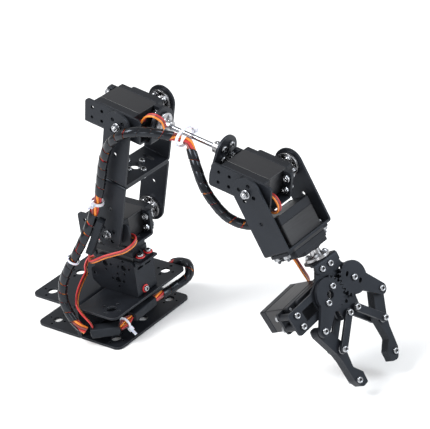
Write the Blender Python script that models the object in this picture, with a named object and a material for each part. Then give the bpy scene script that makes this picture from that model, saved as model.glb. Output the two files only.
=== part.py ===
"""Desktop robot arm: a folded sheet-metal arm with six hobby servos and a geared claw.

The model's frame: the origin is on the underside of the base, X is the way the arm reaches,
Y is the way the three pitch axes point, and Z is up. Lengths below are millimetres and
angles are degrees; they become metres and radians as each mesh is made.
"""

import math

import bmesh
import bpy
from mathutils import Matrix, Vector

MM = 0.001
GAP = 0.3               # air left between two pieces that touch

# Sheet metal
SHEET = 2.0             # thickness of every folded bracket
BEND = 1.4              # centre-line radius of a fold

# Base: two channels standing back to back
BASE_LENGTH = 98.0      # along Y
BASE_HALF = 47.5        # from the origin to each flange's edge, along X
BASE_HEIGHT = 31.0
BASE_CORNER = 6.5
SEAM_X = 3.2            # where the two channels' webs meet
HOLE_X = 33.5           # centre of each hole group
HOLE_Y = 36.5
BIG_HOLE = 4.3
SMALL_HOLE = 1.6
SMALL_RING = 8.0        # distance of the small holes from their group's centre

# Servo case, measured from the middle of its underside
SERVO_LONG = 30.25      # output shaft to the far end of the case
SERVO_SHORT = 10.25     # output shaft to the near end of the case
SERVO_HALF = 10.0       # half the case's thickness
SERVO_HEIGHT = 38.0
EAR_LOW = 27.0
EAR_HIGH = 29.5
EAR_REACH = 7.0         # how far each ear stands out of the case
EAR_HOLE = 4.65         # ear hole's distance from the case
EAR_PITCH = 5.0         # half the distance between an ear's two holes
BOSS_TOP = 39.5
SHAFT_TOP = 43.5
SHAFT_RADIUS = 2.6

# Screws and nuts
SCREW_RADIUS = 1.4
SCREW_HEAD_RADIUS = 2.7
SCREW_HEAD_HEIGHT = 1.9
NUT_RADIUS = 3.1
NUT_HEIGHT = 2.4
SINK = 0.15             # how far a fused screw's head reaches into its piece

# Output disc that sits on a servo's shaft
HUB_LOW = 40.0
DISC_LOW = 45.5
DISC_TOP = 48.0
DISC_RADIUS = 10.2
HUB_RADIUS = 4.6
DISC_SCREWS = 7.0       # radius of the ring of four screws

# Joints
YAW_X = 31.0
YAW_SERVO_FLOOR = 39.0  # underside of the upright servo
SHOULDER_X = 36.2
SHOULDER_Z = 99.6
ARM_LEAN = 15.2         # upper arm from upright, towards +X
ARM_LENGTH = 106.0
FOREARM_DROP = 11.5     # forearm below level
FOREARM_LENGTH = 126.3
WRIST_OFFSET = -7.3     # wrist axis from the forearm rod's line
HAND_DROP = 64.0        # hand below level
ROLL_OFFSET = 10.1      # roll axis from the arm's middle plane
ROLL_REST = 7.5         # how far the claw is turned about the roll axis

# Long U bracket
YOKE_HALF = 29.0        # half its outside width
YOKE_WIDTH = 26.0
YOKE_REACH = 53.0       # axis to the outside of its base
ARM_BOLTS = 8.5         # radius of the ring of bolts through its base
SERVO_FLOOR_Y = -21.3   # where a servo's underside lies between the legs

# Servo bracket: base plate, bearing wall and two ear tabs
BRACKET_BACK = -37.5
BRACKET_FRONT = 18.5
BRACKET_FLOOR = -12.3
BRACKET_TOP = 10.0
WALL_Y = -23.6
TAB_Y = 5.4

# Claw, in its own frame: y across, z out along the roll axis, front is -x
GEAR_Z = 100.5
GEAR_Y = 14.2
GEAR_TEETH = 24
GEAR_FRONT = 11.5       # depths of the claw's layers, towards its front
GEAR_BACK = 8.5
CRANK_Y = 20.5          # crank pivot from its gear's centre
CRANK_Z = 21.1
LINK_Y = 4.6            # link's fixed pivot
LINK_Z = 121.5
LINK_FRONT = 11.2
LINK_BACK = 8.6
PLATE_FRONT = 7.7
PLATE_BACK = 5.7
FINGER_FRONT = 7.0
FINGER_BACK = -1.0
REAR_FRONT = 1.0
REAR_BACK = -1.0
REAR_LINK = (2.3, 4.9)
CLAW_SERVO_TILT = 6.0
GEAR_SCREW_TURN = 140.0

# Cords
LOOM_RADIUS = 4.2
LEAD_RADIUS = 1.3


def clear_scene():
    for item in list(bpy.data.objects):
        bpy.data.objects.remove(item)


def make_material(name, colour, roughness, metallic):
    item = bpy.data.materials.new(name)
    item.use_nodes = True
    shader = item.node_tree.nodes["Principled BSDF"]
    shader.inputs["Base Color"].default_value = (*colour, 1.0)
    shader.inputs["Roughness"].default_value = roughness
    shader.inputs["Metallic"].default_value = metallic
    return item


# ---------------------------------------------------------------- small shape helpers

def place(axis, a, b, c):
    """A point whose depth c runs along the named axis."""
    if axis == "x":
        return Vector((c, a, b)) * MM
    if axis == "y":
        return Vector((a, c, b)) * MM
    return Vector((a, b, c)) * MM


def circle(a, b, radius, sides, turn=0.0):
    points = []
    for step in range(sides):
        angle = math.radians(turn) + 2 * math.pi * step / sides
        points.append((a + radius * math.cos(angle), b + radius * math.sin(angle)))
    return points


def arc(a, b, radius, start, end, steps):
    points = []
    for step in range(steps + 1):
        angle = math.radians(start + (end - start) * step / steps)
        points.append((a + radius * math.cos(angle), b + radius * math.sin(angle)))
    return points


def slot(a, b, radius, half_length, turn, steps=3):
    """A long hole with round ends, its length turned from the first direction."""
    points = []
    for side in (1, -1):
        start = -90 if side == 1 else 90
        for step in range(steps + 1):
            angle = math.radians(start + 180 * step / steps)
            points.append((side * half_length + radius * math.cos(angle),
                           radius * math.sin(angle)))
    spin = math.radians(turn)
    return [(a + x * math.cos(spin) - y * math.sin(spin),
             b + x * math.sin(spin) + y * math.cos(spin)) for x, y in points]


def rounded_outline(corners):
    """Round each (a, b, radius) corner of a closed outline."""
    points = []
    count = len(corners)
    for index, (a, b, radius) in enumerate(corners):
        here = Vector((a, b))
        if radius <= 0:
            points.append((a, b))
            continue
        before = Vector(corners[index - 1][:2]) - here
        after = Vector(corners[(index + 1) % count][:2]) - here
        before.normalize()
        after.normalize()
        half = before.angle(after) / 2
        reach = radius / math.tan(half)
        centre = here + (before + after).normalized() * radius / math.sin(half)
        start = here + before * reach - centre
        end = here + after * reach - centre
        turn = start.angle_signed(end)
        steps = max(2, round(abs(math.degrees(turn)) / 28))
        first = math.atan2(start.y, start.x)
        for step in range(steps + 1):
            angle = first - turn * step / steps
            points.append((centre.x + radius * math.cos(angle),
                           centre.y + radius * math.sin(angle)))
    return points


def strip(path, thickness=SHEET, bend=BEND, steps=2):
    """Outline of a folded strip of sheet that follows a centre line."""
    path = [Vector(point) for point in path]
    samples = []
    for index, point in enumerate(path):
        if index == 0 or index == len(path) - 1:
            other = path[1] - point if index == 0 else point - path[-2]
            other.normalize()
            samples.append((point, Vector((-other.y, other.x))))
            continue
        into = (point - path[index - 1]).normalized()
        out = (path[index + 1] - point).normalized()
        turn = math.atan2(into.cross(out), into.dot(out))
        side = 1 if turn > 0 else -1
        normal = Vector((-into.y, into.x))
        start = point - into * bend * math.tan(abs(turn) / 2)
        centre = start + normal * side * bend
        for step in range(steps + 1):
            angle = turn * step / steps
            here = Vector((normal.x * math.cos(angle) - normal.y * math.sin(angle),
                           normal.x * math.sin(angle) + normal.y * math.cos(angle)))
            samples.append((centre - here * side * bend, here))
    half = thickness / 2
    left = [tuple(point + normal * half) for point, normal in samples]
    right = [tuple(point - normal * half) for point, normal in samples]
    return left + right[::-1]


def add_slab(mesh, outline, low, high, axis, holes=()):
    """Add a flat plate with holes: an outline carried from low to high."""
    rims = {low: [], high: []}
    for loop in [outline, *holes]:
        rings = {}
        for depth in (low, high):
            rings[depth] = [mesh.verts.new(place(axis, a, b, depth)) for a, b in loop]
        for step, vertex in enumerate(rings[low]):
            after = (step + 1) % len(loop)
            mesh.faces.new((vertex, rings[low][after], rings[high][after], rings[high][step]))
            for depth in (low, high):
                edge = mesh.edges.get((rings[depth][step], rings[depth][after]))
                rims[depth].append(edge)
    for depth in (low, high):
        bmesh.ops.triangle_fill(mesh, use_beauty=True, edges=rims[depth])


def add_lathe(mesh, profile, sides, axis, a=0.0, b=0.0, turn=0.0):
    """Turn a closed (radius, depth) profile about a line along the named axis."""
    rings = []
    for radius, depth in profile:
        if radius <= 0:
            rings.append([mesh.verts.new(place(axis, a, b, depth))])
        else:
            rings.append([mesh.verts.new(place(axis, x, y, depth))
                          for x, y in circle(a, b, radius, sides, turn)])
    pairs = list(zip(rings, rings[1:]))
    if len(rings[0]) > 1 and len(rings[-1]) > 1:
        pairs.append((rings[-1], rings[0]))
    for one, two in pairs:
        for step in range(sides):
            after = (step + 1) % sides
            if len(one) == 1:
                mesh.faces.new((one[0], two[step], two[after]))
            elif len(two) == 1:
                mesh.faces.new((one[step], one[after], two[0]))
            else:
                mesh.faces.new((one[step], one[after], two[after], two[step]))


def add_bolt(mesh, axis, a, b, head, tip, nut=None, collar=None, sides=6,
             head_radius=SCREW_HEAD_RADIUS):
    """A bolt whose head stands on depth head; nut and collar are (near, far, radius) rings
    in one piece with its shank, given in order from the head."""
    way = 1 if tip > head else -1
    top = head - way * SCREW_HEAD_HEIGHT
    profile = [(0, top), (head_radius, top), (head_radius, head), (SCREW_RADIUS, head)]
    for ring in (collar, nut):
        if ring:
            near, far, radius = ring
            profile += [(SCREW_RADIUS, near), (radius, near), (radius, far), (SCREW_RADIUS, far)]
    if abs(profile[-1][1] - tip) < 0.01:
        profile.pop()
        profile.append((0, tip))
    else:
        profile += [(SCREW_RADIUS, tip), (0, tip)]
    if profile[3][1] == profile[4][1] and len(profile) > 5:
        profile.pop(3)
        profile.pop(3)
    add_lathe(mesh, profile, sides, axis, a, b)


def finish(name, mesh, material, smooth=30.0):
    """Turn a bmesh into an object at the origin, with its faces pointing out."""
    bmesh.ops.recalc_face_normals(mesh, faces=mesh.faces)
    data = bpy.data.meshes.new(name)
    mesh.to_mesh(data)
    mesh.free()
    item = bpy.data.objects.new(name, data)
    bpy.context.scene.collection.objects.link(item)
    data.materials.append(material)
    shade(item, smooth)
    return item


def shade(item, angle):
    if angle > 0:
        item.data.shade_smooth()
        item.data.set_sharp_from_angle(angle=math.radians(angle))


def combine(item, cutter, operation, smooth=30.0):
    """Apply one Boolean with a cutter object, then take the cutter away."""
    change = item.modifiers.new("shape", "BOOLEAN")
    change.operation = operation
    change.object = cutter
    graph = bpy.context.evaluated_depsgraph_get()
    data = bpy.data.meshes.new_from_object(item.evaluated_get(graph))
    item.modifiers.clear()
    material = item.data.materials[0]
    work = bmesh.new()
    work.from_mesh(data)
    bmesh.ops.remove_doubles(work, verts=work.verts, dist=0.000002)
    bmesh.ops.dissolve_degenerate(work, edges=work.edges, dist=0.000002)
    bmesh.ops.triangulate(work, faces=work.faces)
    bmesh.ops.recalc_face_normals(work, faces=work.faces)
    work.to_mesh(data)
    work.free()
    data.materials.clear()
    data.materials.append(material)
    for face in data.polygons:
        face.material_index = 0
    item.data = data
    shade(item, smooth)
    bpy.data.objects.remove(cutter)


def drill(item, loops):
    """Cut prisms: each entry is (axis, outline, low, high)."""
    mesh = bmesh.new()
    for axis, outline, low, high in loops:
        add_slab(mesh, outline, low, high, axis)
    combine(item, finish("cutter", mesh, item.data.materials[0], 0), "DIFFERENCE")


def fuse(item, mesh, smooth=30.0):
    """Make the screws in a bmesh one body with the piece they are tightened on."""
    combine(item, finish("screws", mesh, item.data.materials[0], 0), "UNION", smooth)


def keep_inside(item, axis, outline, low, high):
    mesh = bmesh.new()
    add_slab(mesh, outline, low, high, axis)
    combine(item, finish("cutter", mesh, item.data.materials[0], 0), "INTERSECT")


def twin(name, source):
    """A second object that shares its mesh with the first."""
    item = bpy.data.objects.new(name, source.data)
    bpy.context.scene.collection.objects.link(item)
    return item


def frame_at(name, parent, where, turn=(0.0, 0.0, 0.0)):
    """An empty on a joint's axis, placed in its parent's frame."""
    item = bpy.data.objects.new(name, None)
    bpy.context.scene.collection.objects.link(item)
    item.parent = parent
    item.location = Vector(where) * MM
    item.rotation_euler = [math.radians(value) for value in turn]
    return item


def attach(item, parent, where=(0.0, 0.0, 0.0), turn=(0.0, 0.0, 0.0)):
    item.parent = parent
    item.location = Vector(where) * MM
    item.rotation_euler = [math.radians(value) for value in turn]
    return item


def hole_ring(a, b, radius, count, hole, sides=6, start=45.0):
    loops = []
    for x, y in circle(a, b, radius, count, start):
        loops.append(circle(x, y, hole, sides))
    return loops


# ---------------------------------------------------------------- the kit's standard parts

def make_servo(name, material, style="plain"):
    """Servo with its shaft along +Y from y = 0 at its underside, long side towards -X.
    Styles: plain has open ear holes, heads_up has screws with their heads on the ears,
    washers adds a washer under each head, tips_up has the nuts on the ears."""
    mesh = bmesh.new()
    low = -SERVO_LONG
    high = SERVO_SHORT
    step = 0.5
    outline = [
        (low, 0), (high, 0), (high, EAR_LOW), (high + EAR_REACH, EAR_LOW),
        (high + EAR_REACH, EAR_HIGH), (high, EAR_HIGH), (high, SERVO_HEIGHT - 4.5),
        (high - step, SERVO_HEIGHT - 4), (high - step, SERVO_HEIGHT),
        (low + 9, SERVO_HEIGHT), (low + 8, SERVO_HEIGHT - 3), (low, SERVO_HEIGHT - 3),
        (low, EAR_HIGH), (low - EAR_REACH, EAR_HIGH), (low - EAR_REACH, EAR_LOW),
        (low, EAR_LOW)]
    add_slab(mesh, outline, -SERVO_HALF, SERVO_HALF, "z")
    item = finish(name, mesh, material, 25)
    mesh = bmesh.new()
    add_lathe(mesh, [(0, SERVO_HEIGHT - 2), (6.6, SERVO_HEIGHT - 2), (6.2, BOSS_TOP),
                     (SHAFT_RADIUS, BOSS_TOP), (SHAFT_RADIUS, SHAFT_TOP),
                     (0, SHAFT_TOP)], 12, "y", 0, 0)
    fuse(item, mesh, 25)
    places = [(a, b) for a in (high + EAR_HOLE, low - EAR_HOLE) for b in (-EAR_PITCH, EAR_PITCH)]
    if style == "plain":
        drill(item, [("y", circle(a, b, 1.75, 6), EAR_LOW - 1, EAR_HIGH + 1) for a, b in places])
        return item
    mesh = bmesh.new()
    tab = EAR_LOW - GAP - SHEET - GAP
    for a, b in places:
        if style == "tips_up":
            ear = EAR_HIGH - SINK
            add_bolt(mesh, "y", a, b, tab, ear + 5.0, (ear, ear + NUT_HEIGHT, NUT_RADIUS),
                     head_radius=1.7)
        elif style == "washers":
            ear = EAR_HIGH - SINK
            add_bolt(mesh, "y", a, b, ear + 1.0, tab - 1.5, None, (ear + 1.0, ear, 4.0))
        else:
            add_bolt(mesh, "y", a, b, EAR_HIGH - SINK, tab - NUT_HEIGHT,
                     (tab, tab - NUT_HEIGHT, NUT_RADIUS))
    fuse(item, mesh, 25)
    return item


def make_disc(name, material, screws=(), under=False):
    """Output disc on a hub, along +Y, in the servo's own frame, with screws that pass
    through the sheet on top of it. Their heads are on the sheet, or under the disc."""
    mesh = bmesh.new()
    bore = SHAFT_RADIUS + 0.35
    add_lathe(mesh, [(bore, HUB_LOW), (HUB_RADIUS, HUB_LOW), (HUB_RADIUS, DISC_LOW),
                     (DISC_RADIUS, DISC_LOW), (DISC_RADIUS, DISC_TOP), (bore, DISC_TOP)],
              14, "y")
    item = finish(name, mesh, material)
    if screws:
        mesh = bmesh.new()
        head, tip = DISC_TOP + GAP + SHEET + GAP, DISC_TOP - 1.0
        if under:
            head, tip = DISC_LOW + SINK, DISC_TOP + GAP + SHEET - 0.1
        for a, b in screws:
            add_bolt(mesh, "y", a, b, head, tip, head_radius=2.2)
        fuse(item, mesh)
    return item


def make_yoke(name, material, servo_window=False):
    """Long U bracket: its axis is Y through the origin and its base is out along +Z."""
    half = SHEET / 2
    reach = YOKE_REACH - half
    side = YOKE_HALF - half
    tip = -YOKE_WIDTH / 2
    mesh = bmesh.new()
    add_slab(mesh, strip([(-side, tip), (-side, reach), (side, reach), (side, tip)]),
             -YOKE_WIDTH / 2, YOKE_WIDTH / 2, "x")
    item = finish(name, mesh, material)
    round_end = arc(0, 0, YOKE_WIDTH / 2, 180, 360, 10)
    outline = [(YOKE_WIDTH / 2, YOKE_REACH + 1), (-YOKE_WIDTH / 2, YOKE_REACH + 1)]
    keep_inside(item, "y", round_end + outline, -YOKE_HALF - 1, YOKE_HALF + 1)
    inner = YOKE_HALF - SHEET - 1
    outer = YOKE_HALF + 1
    holes = [("y", circle(0, 0, 1.75, 10), -outer, -inner),
             ("y", circle(0, 0, 3.2, 12), inner, outer)]
    for loop in hole_ring(0, 0, DISC_SCREWS, 4, 1.75):
        holes.append(("y", loop, -outer, -inner))
        holes.append(("y", loop, inner, outer))
    holes.append(("y", circle(0, 26.0, 1.75, 6), -outer, -inner))
    holes.append(("y", circle(0, 26.0, 1.75, 6), inner, outer))
    low = YOKE_REACH - SHEET - 1
    high = YOKE_REACH + 1
    if servo_window:
        across = SERVO_HALF + 0.4
        near = ROLL_OFFSET - SERVO_LONG - 0.5
        far = ROLL_OFFSET + SERVO_SHORT + 0.5
        window = [(-across, near), (across, near), (across, far), (-across, far)]
        holes.append(("z", window, low, high))
        for b in (ROLL_OFFSET + SERVO_SHORT + EAR_HOLE, ROLL_OFFSET - SERVO_LONG - EAR_HOLE):
            for a in (-EAR_PITCH, EAR_PITCH):
                holes.append(("z", circle(a, b, 1.75, 8), low, high))
    else:
        holes.append(("z", circle(0, 0, 5.0, 14), low, high))
        for loop in hole_ring(0, 0, ARM_BOLTS, 4, 1.75, 6, 0.0):
            holes.append(("z", loop, low, high))
        for b in (-17.0, 17.0):
            holes.append(("z", slot(0, b, 1.6, 4.0, 0, 2), low, high))
    drill(item, holes)
    return item


def bracket_floor_screws():
    """The three screw places of the turning disc that lie on the bracket's floor."""
    return [(a, b) for a, b in circle(YAW_X - SHOULDER_X, 0, DISC_SCREWS, 4, 0) if b < 2]


def make_servo_bracket(name, material):
    """Servo bracket: base plate below, bearing wall at -Y, two ear tabs at +Y."""
    half = SHEET / 2
    floor = BRACKET_FLOOR + half
    mesh = bmesh.new()
    path = [(WALL_Y + half, BRACKET_TOP), (WALL_Y + half, floor), (TAB_Y - half, floor),
            (TAB_Y - half, BRACKET_TOP)]
    add_slab(mesh, strip(path), BRACKET_BACK, BRACKET_FRONT, "x")
    item = finish(name, mesh, material)
    corners = [(BRACKET_BACK, BRACKET_FLOOR - 1, 0), (BRACKET_FRONT, BRACKET_FLOOR - 1, 0),
               (BRACKET_FRONT, BRACKET_TOP, 3.5), (BRACKET_BACK, BRACKET_TOP, 3.5)]
    keep_inside(item, "y", rounded_outline(corners), WALL_Y - 1, TAB_Y + 1)
    opening = [(-SERVO_LONG - 0.5, BRACKET_FLOOR + SHEET), (SERVO_SHORT + 0.5, BRACKET_FLOOR + SHEET),
               (SERVO_SHORT + 0.5, BRACKET_TOP + 1), (-SERVO_LONG - 0.5, BRACKET_TOP + 1)]
    holes = [("y", opening, TAB_Y - SHEET - 1.2, TAB_Y + 1)]
    wall = (WALL_Y - 1, WALL_Y + SHEET + 1)
    tab = (TAB_Y - SHEET - 1.2, TAB_Y + 1)
    holes.append(("y", circle(0, 0, 4.3, 14), *wall))
    for loop in hole_ring(0, 0, 7.0, 4, 1.3, 6, 0.0):
        holes.append(("y", loop, *wall))
    for a in (-20.0, -30.0):
        for b in (-5.0, 4.0):
            holes.append(("y", circle(a, b, 1.5, 6), *wall))
    for a in (SERVO_SHORT + EAR_HOLE, -SERVO_LONG - EAR_HOLE):
        for b in (-EAR_PITCH, EAR_PITCH):
            holes.append(("y", circle(a, b, 1.75, 6), *tab))
    base = (BRACKET_FLOOR - 1, BRACKET_FLOOR + SHEET + 1)
    holes.append(("z", circle(YAW_X - SHOULDER_X, 0, 2.0, 10), *base))
    for a, b in bracket_floor_screws():
        holes.append(("z", circle(a, b, 1.75, 6), *base))
    for a in (-32.0, 12.0):
        holes.append(("z", circle(a, -6.0, 1.75, 6), *base))
    drill(item, holes)
    return item


# ---------------------------------------------------------------- base

def make_channel(name, side, material):
    """One channel of the base; side is +1 for the flanges that run to +X."""
    half = SHEET / 2
    web = SEAM_X + side * (GAP / 2 + half)
    edge = side * BASE_HALF
    mesh = bmesh.new()
    path = [(edge, half), (web, half), (web, BASE_HEIGHT - half), (edge, BASE_HEIGHT - half)]
    add_slab(mesh, strip(path), -BASE_LENGTH / 2, BASE_LENGTH / 2, "y")
    item = finish(name, mesh, material)
    end = BASE_LENGTH / 2
    corners = [(-60 * side, -end, 0), (edge, -end, BASE_CORNER), (edge, end, BASE_CORNER),
               (-60 * side, end, 0)]
    keep_inside(item, "z", rounded_outline(corners), -1, BASE_HEIGHT + 1)
    holes = []
    top = (BASE_HEIGHT - SHEET - 1, BASE_HEIGHT + 1)
    for b in (-HOLE_Y, 0.0, HOLE_Y):
        holes.append(("z", circle(side * HOLE_X, b, BIG_HOLE, 12), -1, SHEET + 1))
        if side < 0 or b != 0.0:
            holes.append(("z", circle(side * HOLE_X, b, BIG_HOLE, 12), *top))
            for loop in hole_ring(side * HOLE_X, b, SMALL_RING, 4, SMALL_HOLE, 6, 0.0):
                holes.append(("z", loop, *top))
    if side > 0:
        for a, b in YAW_BOLTS:
            holes.append(("z", circle(a, b, 1.75, 6), *top))
    else:
        for b in WEB_BOLTS:
            holes.append(("x", circle(b, BASE_HEIGHT / 2, 1.75, 6), web - 2, web + 2))
    drill(item, holes)
    if side > 0:
        mesh = bmesh.new()
        nut = SEAM_X - GAP / 2 - SHEET - GAP
        for b in WEB_BOLTS:
            add_bolt(mesh, "x", b, BASE_HEIGHT / 2, web + half - SINK, nut - NUT_HEIGHT,
                     (nut, nut - NUT_HEIGHT, NUT_RADIUS))
        fuse(item, mesh)
    return item


YAW_FRONT = -12.6       # outside face of the yaw bracket's perforated plate
YAW_HALF = 11.0         # half the width of its folded strip
YAW_BOLTS = ((9.0, -5.5), (33.0, -5.5), (9.0, 5.5), (33.0, 5.5))
WEB_BOLTS = (-30.0, 30.0)


def make_yaw_bracket(name, material):
    """Upright servo's bracket: a box of folded sheet, bolted down inside, with ears on top."""
    half = SHEET / 2
    foot = BASE_HEIGHT + GAP + half
    left = YAW_X - SERVO_LONG - 0.5
    right = YAW_X + SERVO_SHORT + 0.6
    top = YAW_SERVO_FLOOR + EAR_LOW - GAP - half
    reach = EAR_REACH + 1.0
    mesh = bmesh.new()
    path = [(left - reach, top), (left - half, top), (left - half, foot), (right + half, foot),
            (right + half, top), (right + half + reach, top)]
    add_slab(mesh, strip(path), -YAW_HALF, YAW_HALF, "y")
    item = finish(name, mesh, material)
    plates = bmesh.new()
    plate_top = top - 0.5
    corners = [(left - 7, foot + 5, 3), (left + 2, foot - half, 1), (right + SHEET, foot - half, 1.5),
               (right + SHEET, plate_top - 3, 3), (right - 1, plate_top + 1, 1.5), (left + 3, plate_top + 1, 3),
               (left - 2, plate_top - 12, 2), (left - 7, plate_top - 16, 3)]
    add_slab(plates, rounded_outline(corners), YAW_FRONT, YAW_FRONT + SHEET, "y")
    add_slab(plates, rounded_outline(corners), -YAW_FRONT - SHEET, -YAW_FRONT, "y")
    fuse(item, plates)
    holes = []
    for b in (-EAR_PITCH, EAR_PITCH):
        holes.append(("z", circle(YAW_X - SERVO_LONG - EAR_HOLE, b, 1.75, 8), top - 2, top + 2))
        holes.append(("z", circle(YAW_X + SERVO_SHORT + EAR_HOLE, b, 1.75, 8), top - 2, top + 2))
        holes.append(("x", slot(b, top - 7.0, 1.2, 2.6, 0, 2), right - 1, right + SHEET + 1))
    depth = (YAW_FRONT - 1, YAW_FRONT + SHEET + 1)
    for a, b in ((11.0, 57.5), (31.5, 57.5), (23.5, 44.0)):
        holes.append(("y", circle(a, b, 2.9, 10), *depth))
        for loop in hole_ring(a, b, 6.2, 4, 1.2, 6, 0.0):
            holes.append(("y", loop, *depth))
    holes.append(("y", circle(left - 3.2, 44.5, 1.7, 6), *depth))
    drill(item, holes)
    mesh = bmesh.new()
    seat = foot + half - SINK
    under = BASE_HEIGHT - SHEET - GAP
    for a, b in YAW_BOLTS:
        add_bolt(mesh, "z", a, b, seat + 1.0, under - NUT_HEIGHT,
                 (under, under - NUT_HEIGHT, NUT_RADIUS), (seat + 1.0, seat, 4.0))
    fuse(item, mesh)
    return item


def make_base(materials):
    black = materials["black_sheet"]
    attach(make_channel("base_channel_back", -1, black), None)
    attach(make_channel("base_channel_front", 1, black), None)
    attach(make_yaw_bracket("yaw_bracket", black), None)
    servo = make_servo("yaw_servo", materials["servo_plastic"], "washers")
    attach(servo, None, (YAW_X, 0, YAW_SERVO_FLOOR), (90, 0, 0))


# ---------------------------------------------------------------- turret and arm

def make_bearing(name, material):
    """Flanged bearing in a bracket's wall, about Y."""
    inner = -YOKE_HALF + SHEET
    mesh = bmesh.new()
    add_lathe(mesh, [(1.9, WALL_Y + SHEET), (4.0, WALL_Y + SHEET), (4.0, WALL_Y - GAP),
                     (5.0, WALL_Y - GAP), (5.0, WALL_Y - 1.2), (3.2, WALL_Y - 1.4),
                     (3.2, inner + GAP), (1.9, inner + GAP)], 12, "y")
    return finish(name, mesh, material)


def make_pivot(name, material):
    """Pivot bolt through a leg and its bearing, with a washer and a nut outside."""
    outside = -YOKE_HALF - GAP
    mesh = bmesh.new()
    add_lathe(mesh, [(0, WALL_Y + SHEET), (1.5, WALL_Y + SHEET), (1.5, outside),
                     (3.7, outside), (3.7, outside - 0.8), (NUT_RADIUS, outside - 0.9),
                     (NUT_RADIUS, outside - 3.2), (1.5, outside - 3.2), (1.5, outside - 4.4),
                     (0, outside - 4.4)], 8, "y")
    return finish(name, mesh, material)


def make_turret(materials, turret):
    screws = [(a - YAW_X + SHOULDER_X, -b) for a, b in bracket_floor_screws()]
    disc = make_disc("yaw_horn", materials["bright_alloy"], screws, True)
    attach(disc, turret, (0, 0, YAW_SERVO_FLOOR), (90, 0, 0))
    servo_frame = frame_at("shoulder_servo_frame", turret, (SHOULDER_X - YAW_X, 0, SHOULDER_Z))
    bracket = make_servo_bracket("shoulder_bracket", materials["black_sheet"])
    attach(bracket, servo_frame)
    servo = make_servo("shoulder_servo", materials["servo_plastic"], "heads_up")
    attach(servo, servo_frame, (0, SERVO_FLOOR_Y, 0))
    attach(make_bearing("shoulder_bearing", materials["bright_alloy"]), servo_frame)


def make_upper_arm(materials, shoulder):
    black = materials["black_sheet"]
    top = (0, 0, ARM_LENGTH + GAP)
    lower = make_yoke("lower_arm_bracket", black)
    attach(lower, shoulder)
    upper = twin("upper_arm_bracket", lower)
    upper.data = lower.data.copy()
    mesh = bmesh.new()
    nut = YOKE_REACH + GAP + SHEET + GAP
    for a, b in circle(0, 0, ARM_BOLTS, 4, 0):
        add_bolt(mesh, "z", a, b, YOKE_REACH - SHEET + SINK, nut + NUT_HEIGHT,
                 (nut, nut + NUT_HEIGHT, NUT_RADIUS))
    fuse(upper, mesh)
    attach(upper, shoulder, top, (180, 0, 180))
    disc = make_disc("shoulder_horn", materials["bright_alloy"], circle(0, 0, DISC_SCREWS, 4, 45))
    attach(disc, shoulder, (0, SERVO_FLOOR_Y, 0))
    attach(twin("elbow_horn", disc), shoulder, (0, SERVO_FLOOR_Y, ARM_LENGTH + GAP))
    pivot = make_pivot("shoulder_pivot", materials["zinc_steel"])
    attach(pivot, shoulder)
    attach(twin("elbow_pivot", pivot), shoulder, top)


ROD_RADIUS = 2.0
FLANGE_RADIUS = 9.6
FLANGE_SCREWS = 6.8     # radius of the ring of four screws
NEAR_PLATE_X = 21.0     # face of the near rod plate that looks back at the elbow servo
FAR_PLATE_X = 84.2      # face of the far rod plate that looks back along the rod
PLATE_LOBE = 13.5


def make_rod_plate(name, face, foot_end, foot_screw, lobe_z, flare, material):
    """Folded plate that carries a rod flange, with its foot under a servo bracket and the
    screw that holds the foot there."""
    half = SHEET / 2
    foot = BRACKET_FLOOR - GAP - half
    middle = face + half
    mesh = bmesh.new()
    path = [(middle, lobe_z + PLATE_LOBE), (middle, foot), (foot_end, foot)]
    add_slab(mesh, strip(path), -22.0, 14.0, "y")
    item = finish(name, mesh, material)
    corners = arc(0, lobe_z, PLATE_LOBE, -10, 190 if flare < 14 else 170, 12)
    left = [(-flare, lobe_z - 12), (-flare, -40), (PLATE_LOBE, -40)]
    keep_inside(item, "x", corners + left, -80, 180)
    holes = [("x", circle(0, lobe_z, 3.2, 10), face - 1, face + SHEET + 1)]
    for loop in hole_ring(0, lobe_z, FLANGE_SCREWS, 4, 1.75, 6):
        holes.append(("x", loop, face - 1, face + SHEET + 1))
    drill(item, holes)
    mesh = bmesh.new()
    add_bolt(mesh, "z", foot_screw, -6.0, foot - half + SINK, BRACKET_FLOOR + SHEET - 0.1)
    fuse(item, mesh)
    return item


def make_flange(name, material):
    """Rod flange with its foot at x = 0, its neck towards +X, and the screws that pass
    through the sheet behind it."""
    mesh = bmesh.new()
    bore = ROD_RADIUS + GAP
    add_lathe(mesh, [(bore, 0), (FLANGE_RADIUS, 0), (FLANGE_RADIUS, 2.2), (4.8, 2.4),
                     (4.8, 9.0), (bore, 9.0)], 16, "x")
    item = finish(name, mesh, material)
    mesh = bmesh.new()
    for a, b in circle(0, 0, FLANGE_SCREWS, 4, 45):
        add_bolt(mesh, "x", a, b, -GAP - SHEET - GAP, 1.0)
    fuse(item, mesh)
    return item


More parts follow.
